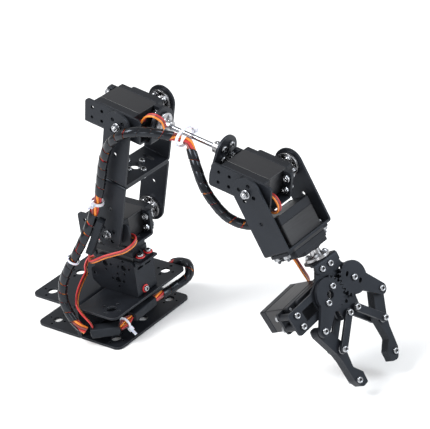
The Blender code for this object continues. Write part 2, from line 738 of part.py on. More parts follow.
def make_forearm(materials, elbow):
    black = materials["black_sheet"]
    alloy = materials["bright_alloy"]
    wrist_at = (FOREARM_LENGTH, 0, WRIST_OFFSET)
    wrist_servo_at = (FOREARM_LENGTH, SERVO_FLOOR_Y, WRIST_OFFSET)
    objects = bpy.data.objects
    attach(twin("elbow_bracket", objects["shoulder_bracket"]), elbow)
    attach(twin("wrist_bracket", objects["shoulder_bracket"]), elbow, wrist_at)
    attach(twin("elbow_servo", objects["shoulder_servo"]), elbow, (0, SERVO_FLOOR_Y, 0))
    attach(twin("wrist_servo", objects["shoulder_servo"]), elbow, wrist_servo_at)
    attach(twin("elbow_bearing", objects["shoulder_bearing"]), elbow)
    attach(twin("wrist_bearing", objects["shoulder_bearing"]), elbow, wrist_at)
    near = make_rod_plate("rod_plate_near", NEAR_PLATE_X, -6.0, 12.0, 0.0, PLATE_LOBE, black)
    attach(near, elbow)
    far = make_rod_plate("rod_plate_far", FAR_PLATE_X - FOREARM_LENGTH, -12.0, -32.0,
                         -WRIST_OFFSET, 19.0, black)
    attach(far, elbow, wrist_at)
    flange = make_flange("rod_flange_near", alloy)
    near_face = NEAR_PLATE_X + SHEET + GAP
    far_face = FAR_PLATE_X - GAP
    attach(flange, elbow, (near_face, 0, 0))
    attach(twin("rod_flange_far", flange), elbow, (far_face, 0, 0), (0, 0, 180))
    mesh = bmesh.new()
    start = near_face + 0.4
    end = far_face - 0.4
    add_lathe(mesh, [(0, start), (ROD_RADIUS, start), (ROD_RADIUS, end), (0, end)], 12, "x")
    attach(finish("forearm_rod", mesh, alloy), elbow)


def make_hand(materials, wrist):
    attach(make_yoke("wrist_yoke", materials["black_sheet"], True), wrist)
    objects = bpy.data.objects
    attach(twin("wrist_horn", objects["shoulder_horn"]), wrist, (0, SERVO_FLOOR_Y, 0))
    attach(twin("wrist_pivot", objects["shoulder_pivot"]), wrist)
    servo = make_servo("roll_servo", materials["servo_plastic"], "tips_up")
    attach(servo, wrist, (0, ROLL_OFFSET, YOKE_REACH + GAP - EAR_LOW), (90, 0, 90))


# ---------------------------------------------------------------- claw

def involute_tooth(teeth, radius, backlash):
    """Right half of one tooth about the first axis, from root to tip."""
    module = 2 * radius / teeth
    pressure = math.radians(20)
    base = radius * math.cos(pressure)
    tip = radius + 0.9 * module
    root = radius - 1.25 * module
    half = math.pi / (2 * teeth) - backlash / (2 * radius)
    involute = math.tan(pressure) - pressure
    points = [(root, half + involute + 0.035)]
    for step in range(3):
        here = base + 0.02 + (tip - base - 0.02) * step / 2
        spread = math.acos(base / here)
        points.append((here, half + involute - (math.tan(spread) - spread)))
    return points


def gear_outline(centre_y, side):
    """Gear with its toothed sector towards the other gear; side is -1 left, +1 right."""
    pitch = 360 / GEAR_TEETH
    half = involute_tooth(GEAR_TEETH, GEAR_Y, 0.35)
    facing = 0.0 if side < 0 else 180.0
    shift = 0.0 if side < 0 else pitch / 2
    points = []
    first = -4
    last = 4 if side < 0 else 3
    for tooth in range(first, last + 1):
        middle = math.radians(facing + shift + tooth * pitch)
        for radius, angle in half:
            points.append((radius, middle - angle))
        for radius, angle in reversed(half):
            points.append((radius, middle + angle))
    start = points[-1][1]
    end = points[0][1] + 2 * math.pi
    body = GEAR_Y - 0.7
    rim = []
    for step in range(1, 20):
        rim.append((body, start + (end - start) * step / 20))
    outline = [(centre_y + radius * math.cos(angle), GEAR_Z + radius * math.sin(angle))
               for radius, angle in points + rim]
    return outline


def bar(a0, b0, a1, b1, radius, steps=6):
    """Outline of a straight bar with round ends."""
    turn = math.degrees(math.atan2(b1 - b0, a1 - a0))
    return arc(a1, b1, radius, turn - 90, turn + 90, steps) + arc(a0, b0, radius, turn + 90, turn + 270, steps)


def make_gear(name, side, material):
    """Gear with its crank and the pin that carries the finger, about its own centre."""
    y = side * GEAR_Y
    mesh = bmesh.new()
    add_slab(mesh, gear_outline(y, side), -GEAR_FRONT, -GEAR_BACK, "x")
    item = finish(name, mesh, material)
    pivot = (y + side * CRANK_Y, GEAR_Z + CRANK_Z)
    direction = Vector((side * CRANK_Y, CRANK_Z)).normalized()
    sideways = Vector((-direction.y, direction.x))
    start = Vector((y, GEAR_Z)) + direction * 9.5
    wide = [start + sideways * 7.4, start - sideways * 7.4]
    turn = math.degrees(math.atan2(direction.y, direction.x))
    tip = arc(pivot[0], pivot[1], 4.9, turn - 90, turn + 90, 6)
    mesh = bmesh.new()
    add_slab(mesh, [tuple(wide[1])] + tip + [tuple(wide[0])], -GEAR_FRONT, -GEAR_BACK, "x")
    fuse(item, mesh)
    depth = (-GEAR_FRONT - 1, -GEAR_BACK + 1)
    mesh = bmesh.new()
    washer = (-GEAR_BACK - SINK, -FINGER_FRONT - GAP, 3.6)
    nut = -FINGER_BACK + GAP
    add_bolt(mesh, "x", *pivot, -GEAR_FRONT + SINK, nut + NUT_HEIGHT,
             (nut, nut + NUT_HEIGHT, NUT_RADIUS), washer)
    if side < 0:
        drill(item, [("x", circle(y, GEAR_Z, 3.4, 12), *depth)])
        for a, b in circle(y, GEAR_Z, DISC_SCREWS, 2, GEAR_SCREW_TURN):
            add_bolt(mesh, "x", a, b, -GEAR_FRONT + SINK, -GEAR_BACK - 0.2)
    else:
        holes = [("x", circle(y, GEAR_Z, 1.85, 10), *depth)]
        for a, b in circle(y, GEAR_Z, DISC_SCREWS, 2, 49):
            holes.append(("x", slot(a, b, 1.3, 1.0, 139, 2), *depth))
        drill(item, holes)
    fuse(item, mesh)
    return item


def finger_outline(side):
    """Finger in the claw's frame: crank pivot, link pivot, shank and hooked tip."""
    crank = (GEAR_Y + CRANK_Y, GEAR_Z + CRANK_Z)
    link = (LINK_Y + CRANK_Y, LINK_Z + CRANK_Z)
    corners = [
        (crank[0] + 1.5, crank[1] - 5.2, 4.2), (crank[0] + 5.2, crank[1] + 0.8, 4.0),
        (link[0] + 5.6, link[1] + 1.0, 7.0), (link[0] + 3.6, link[1] + 9.0, 9.0),
        (27.0, 169.5, 5.0), (22.5, 177.8, 4.0), (15.4, 176.5, 1.0),
        (15.4, 167.5, 1.2), (19.2, 163.0, 1.5), (22.2, 159.5, 3.0),
        (link[0] - 3.8, link[1] + 7.0, 5.0), (link[0] - 4.8, link[1] - 3.0, 4.2),
        (crank[0] - 5.0, crank[1] - 1.8, 3.6)]
    outline = rounded_outline(corners)
    return [(side * a, b) for a, b in outline]


def make_finger(name, side, material):
    """Finger with its two pivot holes and the clamping screw through its tip."""
    mesh = bmesh.new()
    crank = (side * (GEAR_Y + CRANK_Y), GEAR_Z + CRANK_Z)
    link = (side * (LINK_Y + CRANK_Y), LINK_Z + CRANK_Z)
    holes = [circle(*crank, 1.85, 10), circle(*link, 1.85, 10)]
    add_slab(mesh, finger_outline(side), -FINGER_FRONT, -FINGER_BACK, "x", holes)
    item = finish(name, mesh, material)
    mesh = bmesh.new()
    back = -FINGER_BACK - SINK
    add_bolt(mesh, "x", side * 22.6, 171.0, -FINGER_FRONT + SINK, back + NUT_HEIGHT + 0.3,
             (back, back + NUT_HEIGHT, NUT_RADIUS))
    fuse(item, mesh)
    return item


def make_link(name, side, material):
    """Front and back bars of one side's parallel link, with the two pins that join them."""
    fixed = (side * LINK_Y, LINK_Z)
    far = (side * (LINK_Y + CRANK_Y), LINK_Z + CRANK_Z)
    mesh = bmesh.new()
    for near_face, far_face in ((-LINK_FRONT, -LINK_BACK), REAR_LINK):
        add_slab(mesh, bar(*fixed, *far, 3.2), near_face, far_face, "x")
    item = finish(name, mesh, material)
    mesh = bmesh.new()
    nut = REAR_LINK[1] - SINK
    add_bolt(mesh, "x", *fixed, -LINK_FRONT + SINK, nut + NUT_HEIGHT,
             (nut, nut + NUT_HEIGHT, NUT_RADIUS), (-PLATE_BACK + GAP, -REAR_FRONT - GAP, 3.2))
    add_bolt(mesh, "x", *far, -LINK_FRONT + SINK, nut + NUT_HEIGHT,
             (nut, nut + NUT_HEIGHT, NUT_RADIUS), (-LINK_BACK - SINK, -FINGER_FRONT - GAP, 3.6))
    fuse(item, mesh)
    return item


def claw_servo_point(along, across):
    """A point in the claw's plane, from the left gear along and across its servo."""
    tilt = math.radians(CLAW_SERVO_TILT)
    return (-GEAR_Y - along * math.cos(tilt) + across * math.sin(tilt),
            GEAR_Z + along * math.sin(tilt) + across * math.cos(tilt))


def make_claw_plates(materials, claw):
    black = materials["black_sheet"]
    corners = [
        (-14.0, 79.4, 1.5), (11.0, 79.4, 1.5), (13.0, 86.0, 3), (24.0, 93.5, 5), (24.0, 107.0, 5),
        (11.0, 113.5, 3), (10.0, 126.4, 4), (-10.0, 126.4, 4), (-10.5, 117.0, 2),
        (*claw_servo_point(1.0, 14.2), 3), (*claw_servo_point(13.0, 9.75), 3),
        (*claw_servo_point(42.0, 9.75), 2.5), (*claw_servo_point(42.0, -9.75), 2.5),
        (*claw_servo_point(13.0, -9.75), 3), (-19.0, 87.0, 2)]
    outline = rounded_outline(corners)
    holes = [circle(-GEAR_Y, GEAR_Z, DISC_RADIUS + 0.7, 18), circle(GEAR_Y, GEAR_Z, 1.85, 10)]
    for side in (-1, 1):
        holes.append(circle(side * LINK_Y, LINK_Z, 1.85, 10))
    for across in (-EAR_PITCH, EAR_PITCH):
        for along in (SERVO_LONG + EAR_HOLE, -SERVO_SHORT - EAR_HOLE):
            holes.append(circle(*claw_servo_point(along, across), 1.75, 8))
    holes.append([claw_servo_point(along, across) for along, across in
                  ((14.5, -4.5), (29.0, -4.5), (29.0, 4.5), (14.5, 4.5))])
    for a in MOUNT_SCREWS:
        holes.append(circle(a, MOUNT_SCREW_Z, 1.75, 6))
    for a in (-4.5, 9.0):
        holes.append(circle(a, 89.5, 1.6, 6))
    holes.append(circle(0.0, 113.6, 1.6, 6))
    mesh = bmesh.new()
    add_slab(mesh, outline, -PLATE_FRONT, -PLATE_BACK, "x", holes)
    attach(finish("claw_front_plate", mesh, black), claw)
    corners = [
        (5.6, 92.5, 2), (19.0, 92.5, 4), (24.0, 98.0, 4), (24.0, 106.0, 4), (11.0, 114.0, 3),
        (10.0, 126.4, 4), (-10.0, 126.4, 4), (-10.0, 113.2, 2), (5.6, 111.0, 2)]
    holes = [circle(GEAR_Y, GEAR_Z, 1.85, 10)]
    for side in (-1, 1):
        holes.append(circle(side * LINK_Y, LINK_Z, 1.85, 10))
    mesh = bmesh.new()
    add_slab(mesh, rounded_outline(corners), -REAR_FRONT, -REAR_BACK, "x", holes)
    attach(finish("claw_back_plate", mesh, black), claw)


MOUNT_SCREWS = (-9.3, 0.2)
MOUNT_SCREW_Z = 80.6
MOUNT_TOP = 83.6


def make_claw_mount(materials, claw):
    """Folded mount: a round flange under the roll disc and a face with two screws."""
    top = YOKE_REACH + GAP - EAR_LOW + DISC_TOP + GAP
    half = SHEET / 2
    face = -PLATE_FRONT - GAP - half
    mesh = bmesh.new()
    path = [(11.5, top + half), (face, top + half), (face, MOUNT_TOP)]
    add_slab(mesh, strip(path), -16.0, 12.0, "y")
    item = finish("claw_mount", mesh, materials["black_sheet"])
    corners = [(-16, 60, 0), (12, 60, 0), (12, 81, 2), (8, MOUNT_TOP, 3), (-12, MOUNT_TOP, 3),
               (-16, 81, 2)]
    keep_inside(item, "x", rounded_outline(corners), -20, 20)
    flange = rounded_outline([(-20, -15.0, 0), (-6.0, -15.0, 0), (0.0, -11.2, 2), (11.6, -8.0, 6),
                              (11.6, 8.0, 6), (1.0, 11.0, 2), (-20, 11.5, 0)])
    keep_inside(item, "z", flange, 60, 100)
    holes = [("z", circle(0, 0, 3.0, 12), top - 1, top + SHEET + 1)]
    for loop in hole_ring(0, 0, DISC_SCREWS, 4, 1.75):
        holes.append(("z", loop, top - 1, top + SHEET + 1))
    drill(item, holes)
    mesh = bmesh.new()
    nut = -PLATE_BACK + GAP
    for a in MOUNT_SCREWS:
        add_bolt(mesh, "x", a, MOUNT_SCREW_Z, face - half + SINK, nut + NUT_HEIGHT,
                 (nut, nut + NUT_HEIGHT, NUT_RADIUS))
    fuse(item, mesh)
    attach(item, claw)


def make_claw(materials, claw):
    bottom = YOKE_REACH + GAP - EAR_LOW
    attach(twin("roll_horn", bpy.data.objects["shoulder_horn"]), claw, (0, 0, bottom), (90, 0, 0))
    make_claw_mount(materials, claw)
    make_claw_plates(materials, claw)
    floor = GEAR_BACK - GAP - DISC_TOP
    servo = make_servo("claw_servo", materials["servo_plastic"])
    turn_to_claw(servo, claw, -floor)
    front_face = -PLATE_BACK + GAP
    ear_face = -floor - EAR_HIGH - GAP
    back = -floor - EAR_LOW + GAP
    count = 0
    for across in (-EAR_PITCH, EAR_PITCH):
        for along in (SERVO_LONG + EAR_HOLE, -SERVO_SHORT - EAR_HOLE):
            count += 1
            a, b = claw_servo_point(along, across)
            mesh = bmesh.new()
            if along > 0:
                add_bolt(mesh, "x", a, b, -PLATE_FRONT - GAP, back + NUT_HEIGHT,
                         (back, back + NUT_HEIGHT, NUT_RADIUS), (front_face, ear_face, 2.8), 8)
            else:
                add_bolt(mesh, "x", a, b, back, -PLATE_FRONT + 0.1, None,
                         (ear_face, front_face, 2.8), 8)
            attach(finish(f"claw_standoff_{count}", mesh, materials["zinc_steel"]), claw)
    mesh = bmesh.new()
    nut = -REAR_BACK + GAP
    add_bolt(mesh, "x", GEAR_Y, GEAR_Z, -GEAR_FRONT - GAP, nut + NUT_HEIGHT,
             (nut, nut + NUT_HEIGHT, NUT_RADIUS), (front_face, -REAR_FRONT - GAP, 3.4), 8)
    attach(finish("gear_right_pivot", mesh, materials["zinc_steel"]), claw)


def turn_to_claw(item, parent, x, origin=(0, 0, 0)):
    """Place a servo or its disc behind the left gear, with its shaft towards the front.
    The origin is where the parent's frame stands in the claw's frame."""
    tilt = math.radians(CLAW_SERVO_TILT)
    long_way = Vector((0, math.cos(tilt), -math.sin(tilt)))
    shaft = Vector((-1, 0, 0))
    third = long_way.cross(shaft)
    turn = Matrix((long_way, shaft, third)).transposed().to_4x4()
    where = Vector((x, -GEAR_Y, GEAR_Z)) - Vector(origin)
    item.parent = parent
    item.matrix_local = Matrix.Translation(where * MM) @ turn


def make_gripper(materials, claw):
    black = materials["black_sheet"]
    floor = GEAR_BACK - GAP - DISC_TOP
    for side, word in ((-1, "left"), (1, "right")):
        centre = Vector((0, side * GEAR_Y, GEAR_Z))
        axis = frame_at("gear_axis_" + word, claw, centre)
        attach(make_gear("gear_" + word, side, black), axis, -centre)
        if side < 0:
            disc = make_disc("claw_horn", materials["bright_alloy"])
            turn_to_claw(disc, axis, -floor, centre)
        pivot = Vector((0, side * (GEAR_Y + CRANK_Y), GEAR_Z + CRANK_Z))
        knuckle = frame_at("finger_axis_" + word, axis, pivot - centre)
        attach(make_finger("finger_" + word, side, black), knuckle, -pivot)
        fixed = Vector((0, side * LINK_Y, LINK_Z))
        swing = frame_at("link_axis_" + word, claw, fixed)
        attach(make_link("link_" + word, side, black), swing, -fixed)


# ---------------------------------------------------------------- cords

def smooth_route(points, spacing):
    """Evenly spaced points on a smooth curve through a route's own points."""
    points = [Vector(point) for point in points]
    points = [2 * points[0] - points[1]] + points + [2 * points[-1] - points[-2]]
    fine = []
    for index in range(1, len(points) - 2):
        p0, p1, p2, p3 = points[index - 1:index + 3]
        for step in range(24):
            t = step / 24
            fine.append(0.5 * (2 * p1 + (p2 - p0) * t + (2 * p0 - 5 * p1 + 4 * p2 - p3) * t * t
                               + (3 * p1 - p0 - 3 * p2 + p3) * t * t * t))
    fine.append(points[-2])
    total = sum((fine[i + 1] - fine[i]).length for i in range(len(fine) - 1))
    count = max(3, round(total / spacing))
    picked = [fine[0]]
    walked = 0.0
    for index in range(len(fine) - 1):
        length = (fine[index + 1] - fine[index]).length
        while len(picked) < count and walked + length >= total * len(picked) / count:
            part = (total * len(picked) / count - walked) / length
            picked.append(fine[index].lerp(fine[index + 1], part))
        walked += length
    picked.append(fine[-1])
    return picked


def make_cord(name, route, radius, spacing, material, resolution=2):
    curve = bpy.data.curves.new(name, "CURVE")
    curve.dimensions = "3D"
    curve.bevel_depth = radius * MM
    curve.bevel_resolution = resolution
    curve.use_fill_caps = True
    points = smooth_route(route, spacing)
    line = curve.splines.new("POLY")
    line.points.add(len(points) - 1)
    for index, point in enumerate(points):
        line.points[index].co = (*(point * MM), 1.0)
    curve.materials.append(material)
    item = bpy.data.objects.new(name, curve)
    bpy.context.scene.collection.objects.link(item)
    return item


LOOM_BASE = [(41.5, 8.0, 18.8), (41.6, 14.0, 18.2), (42.3, 25.0, 17.4), (44.0, 35.0, 18.2),
             (47.8, 43.0, 20.8), (50.4, 47.5, 24.4), (49.4, 50.6, 28.8), (44.8, 53.8, 31.2),
             (37.5, 54.2, 31.0), (29.0, 54.4, 28.0), (21.0, 54.8, 22.0)]
LOOM_LOWER = [(17.2, -54.2, 14.6), (11.4, -56.6, 19.6), (3.6, -57.2, 30.0), (-0.4, -57.0, 43.0),
              (1.0, -56.0, 56.2), (7.2, -54.8, 70.0), (15.8, -52.0, 84.0), (22.8, -49.2, 96.0),
              (28.2, -45.6, 107.5), (32.8, -41.2, 119.5), (37.5, -37.0, 133.5)]
LOOM_UPPER = [(38.0, -36.8, 134.6), (42.0, -36.2, 146.0), (46.0, -36.0, 159.0), (50.5, -36.0, 172.5),
              (57.5, -36.2, 186.0), (69.0, -36.5, 197.5), (82.0, -35.0, 203.5), (93.5, -26.5, 202.5),
              (101.0, -18.5, 198.5), (106.0, -12.8, 195.4), (112.0, -9.4, 193.6)]
LOOM_WRIST = [(114.8, -8.3, 192.1), (118.7, -7.9, 189.6), (123.0, -11.0, 183.5), (128.7, -15.0, 175.5),
              (137.5, -20.0, 162.9), (146.4, -22.0, 152.7), (156.8, -21.0, 141.4), (166.0, -17.0, 134.8),
              (175.0, -12.0, 132.5), (184.0, -7.0, 136.0)]
LEAD_YAW = [(-7.9, -5.0, 56.0), (-12.5, -8.0, 53.5), (-12.4, -13.5, 48.8), (-8.6, -18.0, 45.6),
            (-5.6, -25.5, 44.0), (-2.2, -35.0, 41.0), (2.9, -44.5, 38.2), (8.2, -51.0, 34.4),
            (12.6, -52.2, 29.8), (17.4, -52.0, 25.4), (20.8, -51.4, 21.6), (22.0, -50.6, 17.8)]
LEAD_SHOULDER = [(47.0, -15.0, 94.0), (51.2, -15.2, 94.6), (56.2, -18.0, 94.2),
                 (57.6, -24.0, 92.2), (53.5, -31.0, 88.8), (46.0, -36.2, 86.6),
                 (38.5, -40.2, 84.2), (31.0, -43.6, 80.6), (26.6, -44.8, 79.2),
                 (24.9, -44.2, 81.4), (25.2, -43.3, 85.9)]
LEAD_ELBOW = [(75.4, -15.0, 203.0), (80.0, -16.0, 204.5), (84.5, -18.0, 209.0), (90.0, -19.5, 213.0),
              (97.0, -19.5, 214.0), (102.6, -17.8, 210.0), (103.2, -16.4, 203.8)]
LEAD_WRIST = [(197.3, -14.5, 165.4), (201.6, -14.5, 163.9), (205.2, -14.5, 158.4), (204.3, -14.5, 152.6),
              (199.6, -14.5, 150.6), (190.8, -14.5, 152.0), (181.0, -14.5, 153.6)]
LEAD_CLAW = [(185.6, -6.2, 136.4), (188.6, -3.2, 133.0), (189.0, -1.0, 126.6),
             (193.0, -1.0, 118.0), (198.6, -0.6, 110.2), (203.8, 0.4, 103.4), (206.2, 3.0, 95.6),
             (206.6, 7.2, 87.6), (206.0, 12.0, 79.6), (204.2, 14.8, 72.2), (201.0, 15.0, 66.8),
             (198.5, 11.6, 65.2)]


def make_plug(mesh, start, end, width, height):
    """A cord's plug: a chamfered block between two points."""
    start = Vector(start)
    end = Vector(end)
    along = (end - start).normalized()
    side = along.cross(Vector((0, 0, 1))).normalized()
    up = side.cross(along)
    cut = min(width, height) * 0.22
    ring = [(width / 2 - cut, -height / 2), (width / 2, -height / 2 + cut), (width / 2, height / 2 - cut),
            (width / 2 - cut, height / 2), (-width / 2 + cut, height / 2), (-width / 2, height / 2 - cut),
            (-width / 2, -height / 2 + cut), (-width / 2 + cut, -height / 2)]
    rows = []
    for centre in (start, end):
        rows.append([mesh.verts.new((centre + side * a + up * b) * MM) for a, b in ring])
    mesh.faces.new(rows[0])
    mesh.faces.new(rows[1])
    for step in range(len(ring)):
        after = (step + 1) % len(ring)
        mesh.faces.new((rows[0][step], rows[0][after], rows[1][after], rows[1][step]))


def make_tie(name, centre, along, radii, width, tail, material):
    """A zip tie: an oval band round a bundle, with its square head and its tail."""
    centre = Vector(centre)
    along = Vector(along).normalized()
    side = along.cross(Vector((0, 0, 1))).normalized()
    up = side.cross(along)
    thick = 0.9
    rings = []
    steps = 14
    mesh = bmesh.new()
    for grow, shift in ((0, -width / 2), (0, width / 2), (thick, width / 2), (thick, -width / 2)):
        ring = []
        for step in range(steps):
            angle = 2 * math.pi * step / steps
            across = side * (radii[0] + grow) * math.cos(angle)
            point = centre + along * shift + across + up * (radii[1] + grow) * math.sin(angle)
            ring.append(mesh.verts.new(point * MM))
        rings.append(ring)
    for index in range(4):
        one = rings[index]
        two = rings[(index + 1) % 4]
        for step in range(steps):
            after = (step + 1) % steps
            mesh.faces.new((one[step], one[after], two[after], two[step]))
    item = finish(name, mesh, material)
    turn = math.radians(tail)
    out = side * math.cos(turn) + up * math.sin(turn)
    edge = centre + side * radii[0] * math.cos(turn) + up * radii[1] * math.sin(turn)
    for start, end, wide, tall in ((thick / 2, thick + 3.4, 4.2, 3.2),
                                   (thick + 3.0, thick + 8.0, 2.4, 0.9)):
        mesh = bmesh.new()
        make_plug(mesh, edge + out * start, edge + out * end, wide, tall)
        fuse(item, mesh)


def make_cords(materials):
    wrap = materials["black_wrap"]
    wires = materials["servo_wire"]
    for name, route in (("loom_base", LOOM_BASE), ("loom_lower", LOOM_LOWER),
                        ("loom_upper", LOOM_UPPER), ("loom_wrist", LOOM_WRIST)):
        make_cord(name, route, LOOM_RADIUS, 12.0, wrap)
    for name, route in (("lead_yaw", LEAD_YAW), ("lead_shoulder", LEAD_SHOULDER),
                        ("lead_elbow", LEAD_ELBOW), ("lead_wrist", LEAD_WRIST),
                        ("lead_claw", LEAD_CLAW)):
        make_cord(name, route, LEAD_RADIUS, 6.5, wires)
    plugs = (("plug_base_side", (20.2, -51.8, 12.9), (40.6, -36.8, 14.2), 11.0, 8.4),
             ("plug_base_front", (41.5, -22.5, 17.5), (41.5, 7.0, 19.0), 10.0, 8.0),
             ("plug_turret", (25.6, -43.1, 86.6), (40.4, -38.1, 119.1), 8.4, 6.0))
    for name, start, end, width, height in plugs:
        mesh = bmesh.new()
        make_plug(mesh, start, end, width, height)
        finish(name, mesh, materials["plug_plastic"])
    for name, centre, along, radii, tail in (
            ("tie_arm", (37.8, -36.9, 134.0), (4.0, 0.3, 11.0), (4.8, 4.8), 0),
            ("tie_rod", (112.2, -5.0, 193.0), (9.8, 0, -2.0), (10.6, 7.1), 180)):
        make_tie(name, centre, along, radii, 2.6, tail, materials["white_nylon"])


def main():
    clear_scene()
    materials = {
        "black_sheet": make_material("black_sheet", (0.022, 0.023, 0.026), 0.42, 0.55),
        "servo_plastic": make_material("servo_plastic", (0.018, 0.018, 0.020), 0.38, 0.0),
        "bright_alloy": make_material("bright_alloy", (0.66, 0.67, 0.69), 0.24, 1.0),
        "zinc_steel": make_material("zinc_steel", (0.60, 0.60, 0.60), 0.28, 1.0),
        "black_wrap": make_material("black_wrap", (0.016, 0.016, 0.018), 0.36, 0.0),
        "servo_wire": make_material("servo_wire", (0.55, 0.08, 0.03), 0.45, 0.0),
        "plug_plastic": make_material("plug_plastic", (0.020, 0.020, 0.022), 0.50, 0.0),
        "white_nylon": make_material("white_nylon", (0.80, 0.82, 0.86), 0.40, 0.0)}
    make_base(materials)
    turret = frame_at("yaw_axis", None, (YAW_X, 0, 0))
    make_turret(materials, turret)
    shoulder = frame_at("shoulder_axis", turret, (SHOULDER_X - YAW_X, 0, SHOULDER_Z),
                        (0, ARM_LEAN, 0))
    make_upper_arm(materials, shoulder)
    elbow = frame_at("elbow_axis", shoulder, (0, 0, ARM_LENGTH + GAP),
                     (0, FOREARM_DROP - ARM_LEAN, 0))
    make_forearm(materials, elbow)
    wrist = frame_at("wrist_axis", elbow, (FOREARM_LENGTH, 0, WRIST_OFFSET),
                     (0, 90 + HAND_DROP - FOREARM_DROP, 0))
    make_hand(materials, wrist)
    claw = frame_at("roll_axis", wrist, (0, ROLL_OFFSET, 0), (0, 0, ROLL_REST))
    make_claw(materials, claw)
    make_gripper(materials, claw)
    make_cords(materials)


main()
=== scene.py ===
"""Visual model of the desktop robot arm: folded black sheet metal, six servos and a claw.

Every piece is built in millimetres in the local frame that its CAD node was built in, then
put in the shared frame, where it rides on that node's body. The driving dimensions are the
CAD's own, so a piece lies where its solid does.
"""

import math

import bmesh
import bpy
from mathutils import Euler, Matrix, Vector


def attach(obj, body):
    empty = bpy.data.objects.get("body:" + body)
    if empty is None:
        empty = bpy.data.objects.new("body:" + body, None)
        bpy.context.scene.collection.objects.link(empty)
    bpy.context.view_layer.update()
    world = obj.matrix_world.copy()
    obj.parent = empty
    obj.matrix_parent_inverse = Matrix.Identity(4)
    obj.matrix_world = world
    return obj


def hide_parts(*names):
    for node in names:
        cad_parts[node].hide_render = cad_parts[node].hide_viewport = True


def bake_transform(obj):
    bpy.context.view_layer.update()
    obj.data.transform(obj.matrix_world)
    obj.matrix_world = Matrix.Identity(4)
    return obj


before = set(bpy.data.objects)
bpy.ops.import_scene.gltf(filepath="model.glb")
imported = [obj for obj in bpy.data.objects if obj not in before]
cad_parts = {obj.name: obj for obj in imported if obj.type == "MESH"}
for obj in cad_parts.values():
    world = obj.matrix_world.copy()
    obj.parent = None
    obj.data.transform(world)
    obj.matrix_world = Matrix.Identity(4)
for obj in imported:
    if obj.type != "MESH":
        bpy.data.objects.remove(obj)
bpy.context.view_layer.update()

MM = 0.001
GAP = 0.3               # air between two pieces that touch

# Sheet metal
SHEET = 2.0             # thickness of every folded bracket
BEND = 1.4              # centre-line radius of a fold
SHEET_ROUNDING = 0.28   # how far a cut edge is rounded

# Base
BASE_LENGTH = 98.0
BASE_HALF = 47.5        # from the origin to each flange's edge
BASE_HEIGHT = 31.0
BASE_CORNER = 6.5
SEAM_X = 3.2            # where the two channels' webs meet
HOLE_X = 33.5
HOLE_Y = 36.5
BIG_HOLE = 4.3
SMALL_HOLE = 1.6
SMALL_RING = 8.0        # distance of the small holes from the big one
YAW_FRONT = -12.6
YAW_HALF = 11.0
YAW_BOLTS = ((9.0, -5.5), (33.0, -5.5), (9.0, 5.5), (33.0, 5.5))
WEB_BOLTS = (-30.0, 30.0)

# Servo, measured from its shaft and from its underside
SERVO_LONG = 30.25      # to the far end of the case
SERVO_SHORT = 10.25     # to the near end of the case
SERVO_HALF = 10.0
SERVO_HEIGHT = 38.0
CASE_ROUNDING = 0.45
EAR_LOW = 27.0
EAR_HIGH = 29.5
EAR_REACH = 7.0
EAR_HOLE = 4.65
EAR_PITCH = 5.0
BOSS_TOP = 39.5
SHAFT_TOP = 43.5
SHAFT_RADIUS = 2.6

# Screws and nuts
SCREW_RADIUS = 1.4
SCREW_HEAD_RADIUS = 2.7
SCREW_HEAD_HEIGHT = 1.9
NUT_RADIUS = 3.1
NUT_HEIGHT = 2.4
RED_WASHER = 1.0        # thickness
CLEAR_HOLE = 1.75       # radius of a hole that a screw passes through
TIGHT_HOLE = 1.6        # radius of a hole that a screw is tight in
PIVOT_HOLE = 1.85       # radius of a hole that turns on a screw

# Output disc
HUB_LOW = 40.0
DISC_LOW = 45.5
DISC_TOP = 48.0
DISC_RADIUS = 10.2
HUB_RADIUS = 4.6
DISC_SCREWS = 7.0       # radius of the ring of four screws

# Joints
YAW_X = 31.0
YAW_SERVO_FLOOR = 39.0
SHOULDER_X = 36.2
SHOULDER_Z = 99.6
ARM_LEAN = 15.2         # degrees from upright
ARM_LENGTH = 106.0
FOREARM_DROP = 11.5     # degrees below level
FOREARM_LENGTH = 126.3
WRIST_OFFSET = -7.3     # wrist axis from the rod's line
HAND_DROP = 64.0        # degrees below level
ROLL_OFFSET = 10.1      # roll axis from the arm's middle plane
ROLL_REST = 7.5         # degrees that the claw is turned

# Brackets
YOKE_HALF = 29.0
YOKE_WIDTH = 26.0
YOKE_REACH = 53.0       # axis to the outside of its base
ARM_BOLTS = 8.5
SERVO_FLOOR_Y = -21.3
BRACKET_BACK = -37.5
BRACKET_FRONT = 18.5
BRACKET_FLOOR = -12.3
BRACKET_TOP = 10.0
WALL_Y = -23.6
TAB_Y = 5.4
ROD_RADIUS = 2.0
FLANGE_RADIUS = 9.6
FLANGE_SCREWS = 6.8
NEAR_PLATE_X = 21.0
FAR_PLATE_X = 84.2
PLATE_LOBE = 13.5

# Claw, in its own frame: Y across, Z out along the roll axis, its front towards -X
GEAR_Z = 100.5
GEAR_Y = 14.2
GEAR_TEETH = 24
GEAR_FRONT = 11.5
GEAR_BACK = 8.5
CRANK_Y = 20.5
CRANK_Z = 21.1
LINK_Y = 4.6
LINK_Z = 121.5
LINK_FRONT = 11.2
LINK_BACK = 8.6
PLATE_FRONT = 7.7
PLATE_BACK = 5.7
FINGER_FRONT = 7.0
FINGER_BACK = -1.0
REAR_FRONT = 1.0
REAR_BACK = -1.0
REAR_LINK = (2.3, 4.9)
CLAW_SERVO_TILT = 6.0
GEAR_SCREW_TURN = 140.0
MOUNT_SCREWS = (-9.3, 0.2)
MOUNT_SCREW_Z = 80.6
MOUNT_TOP = 83.6

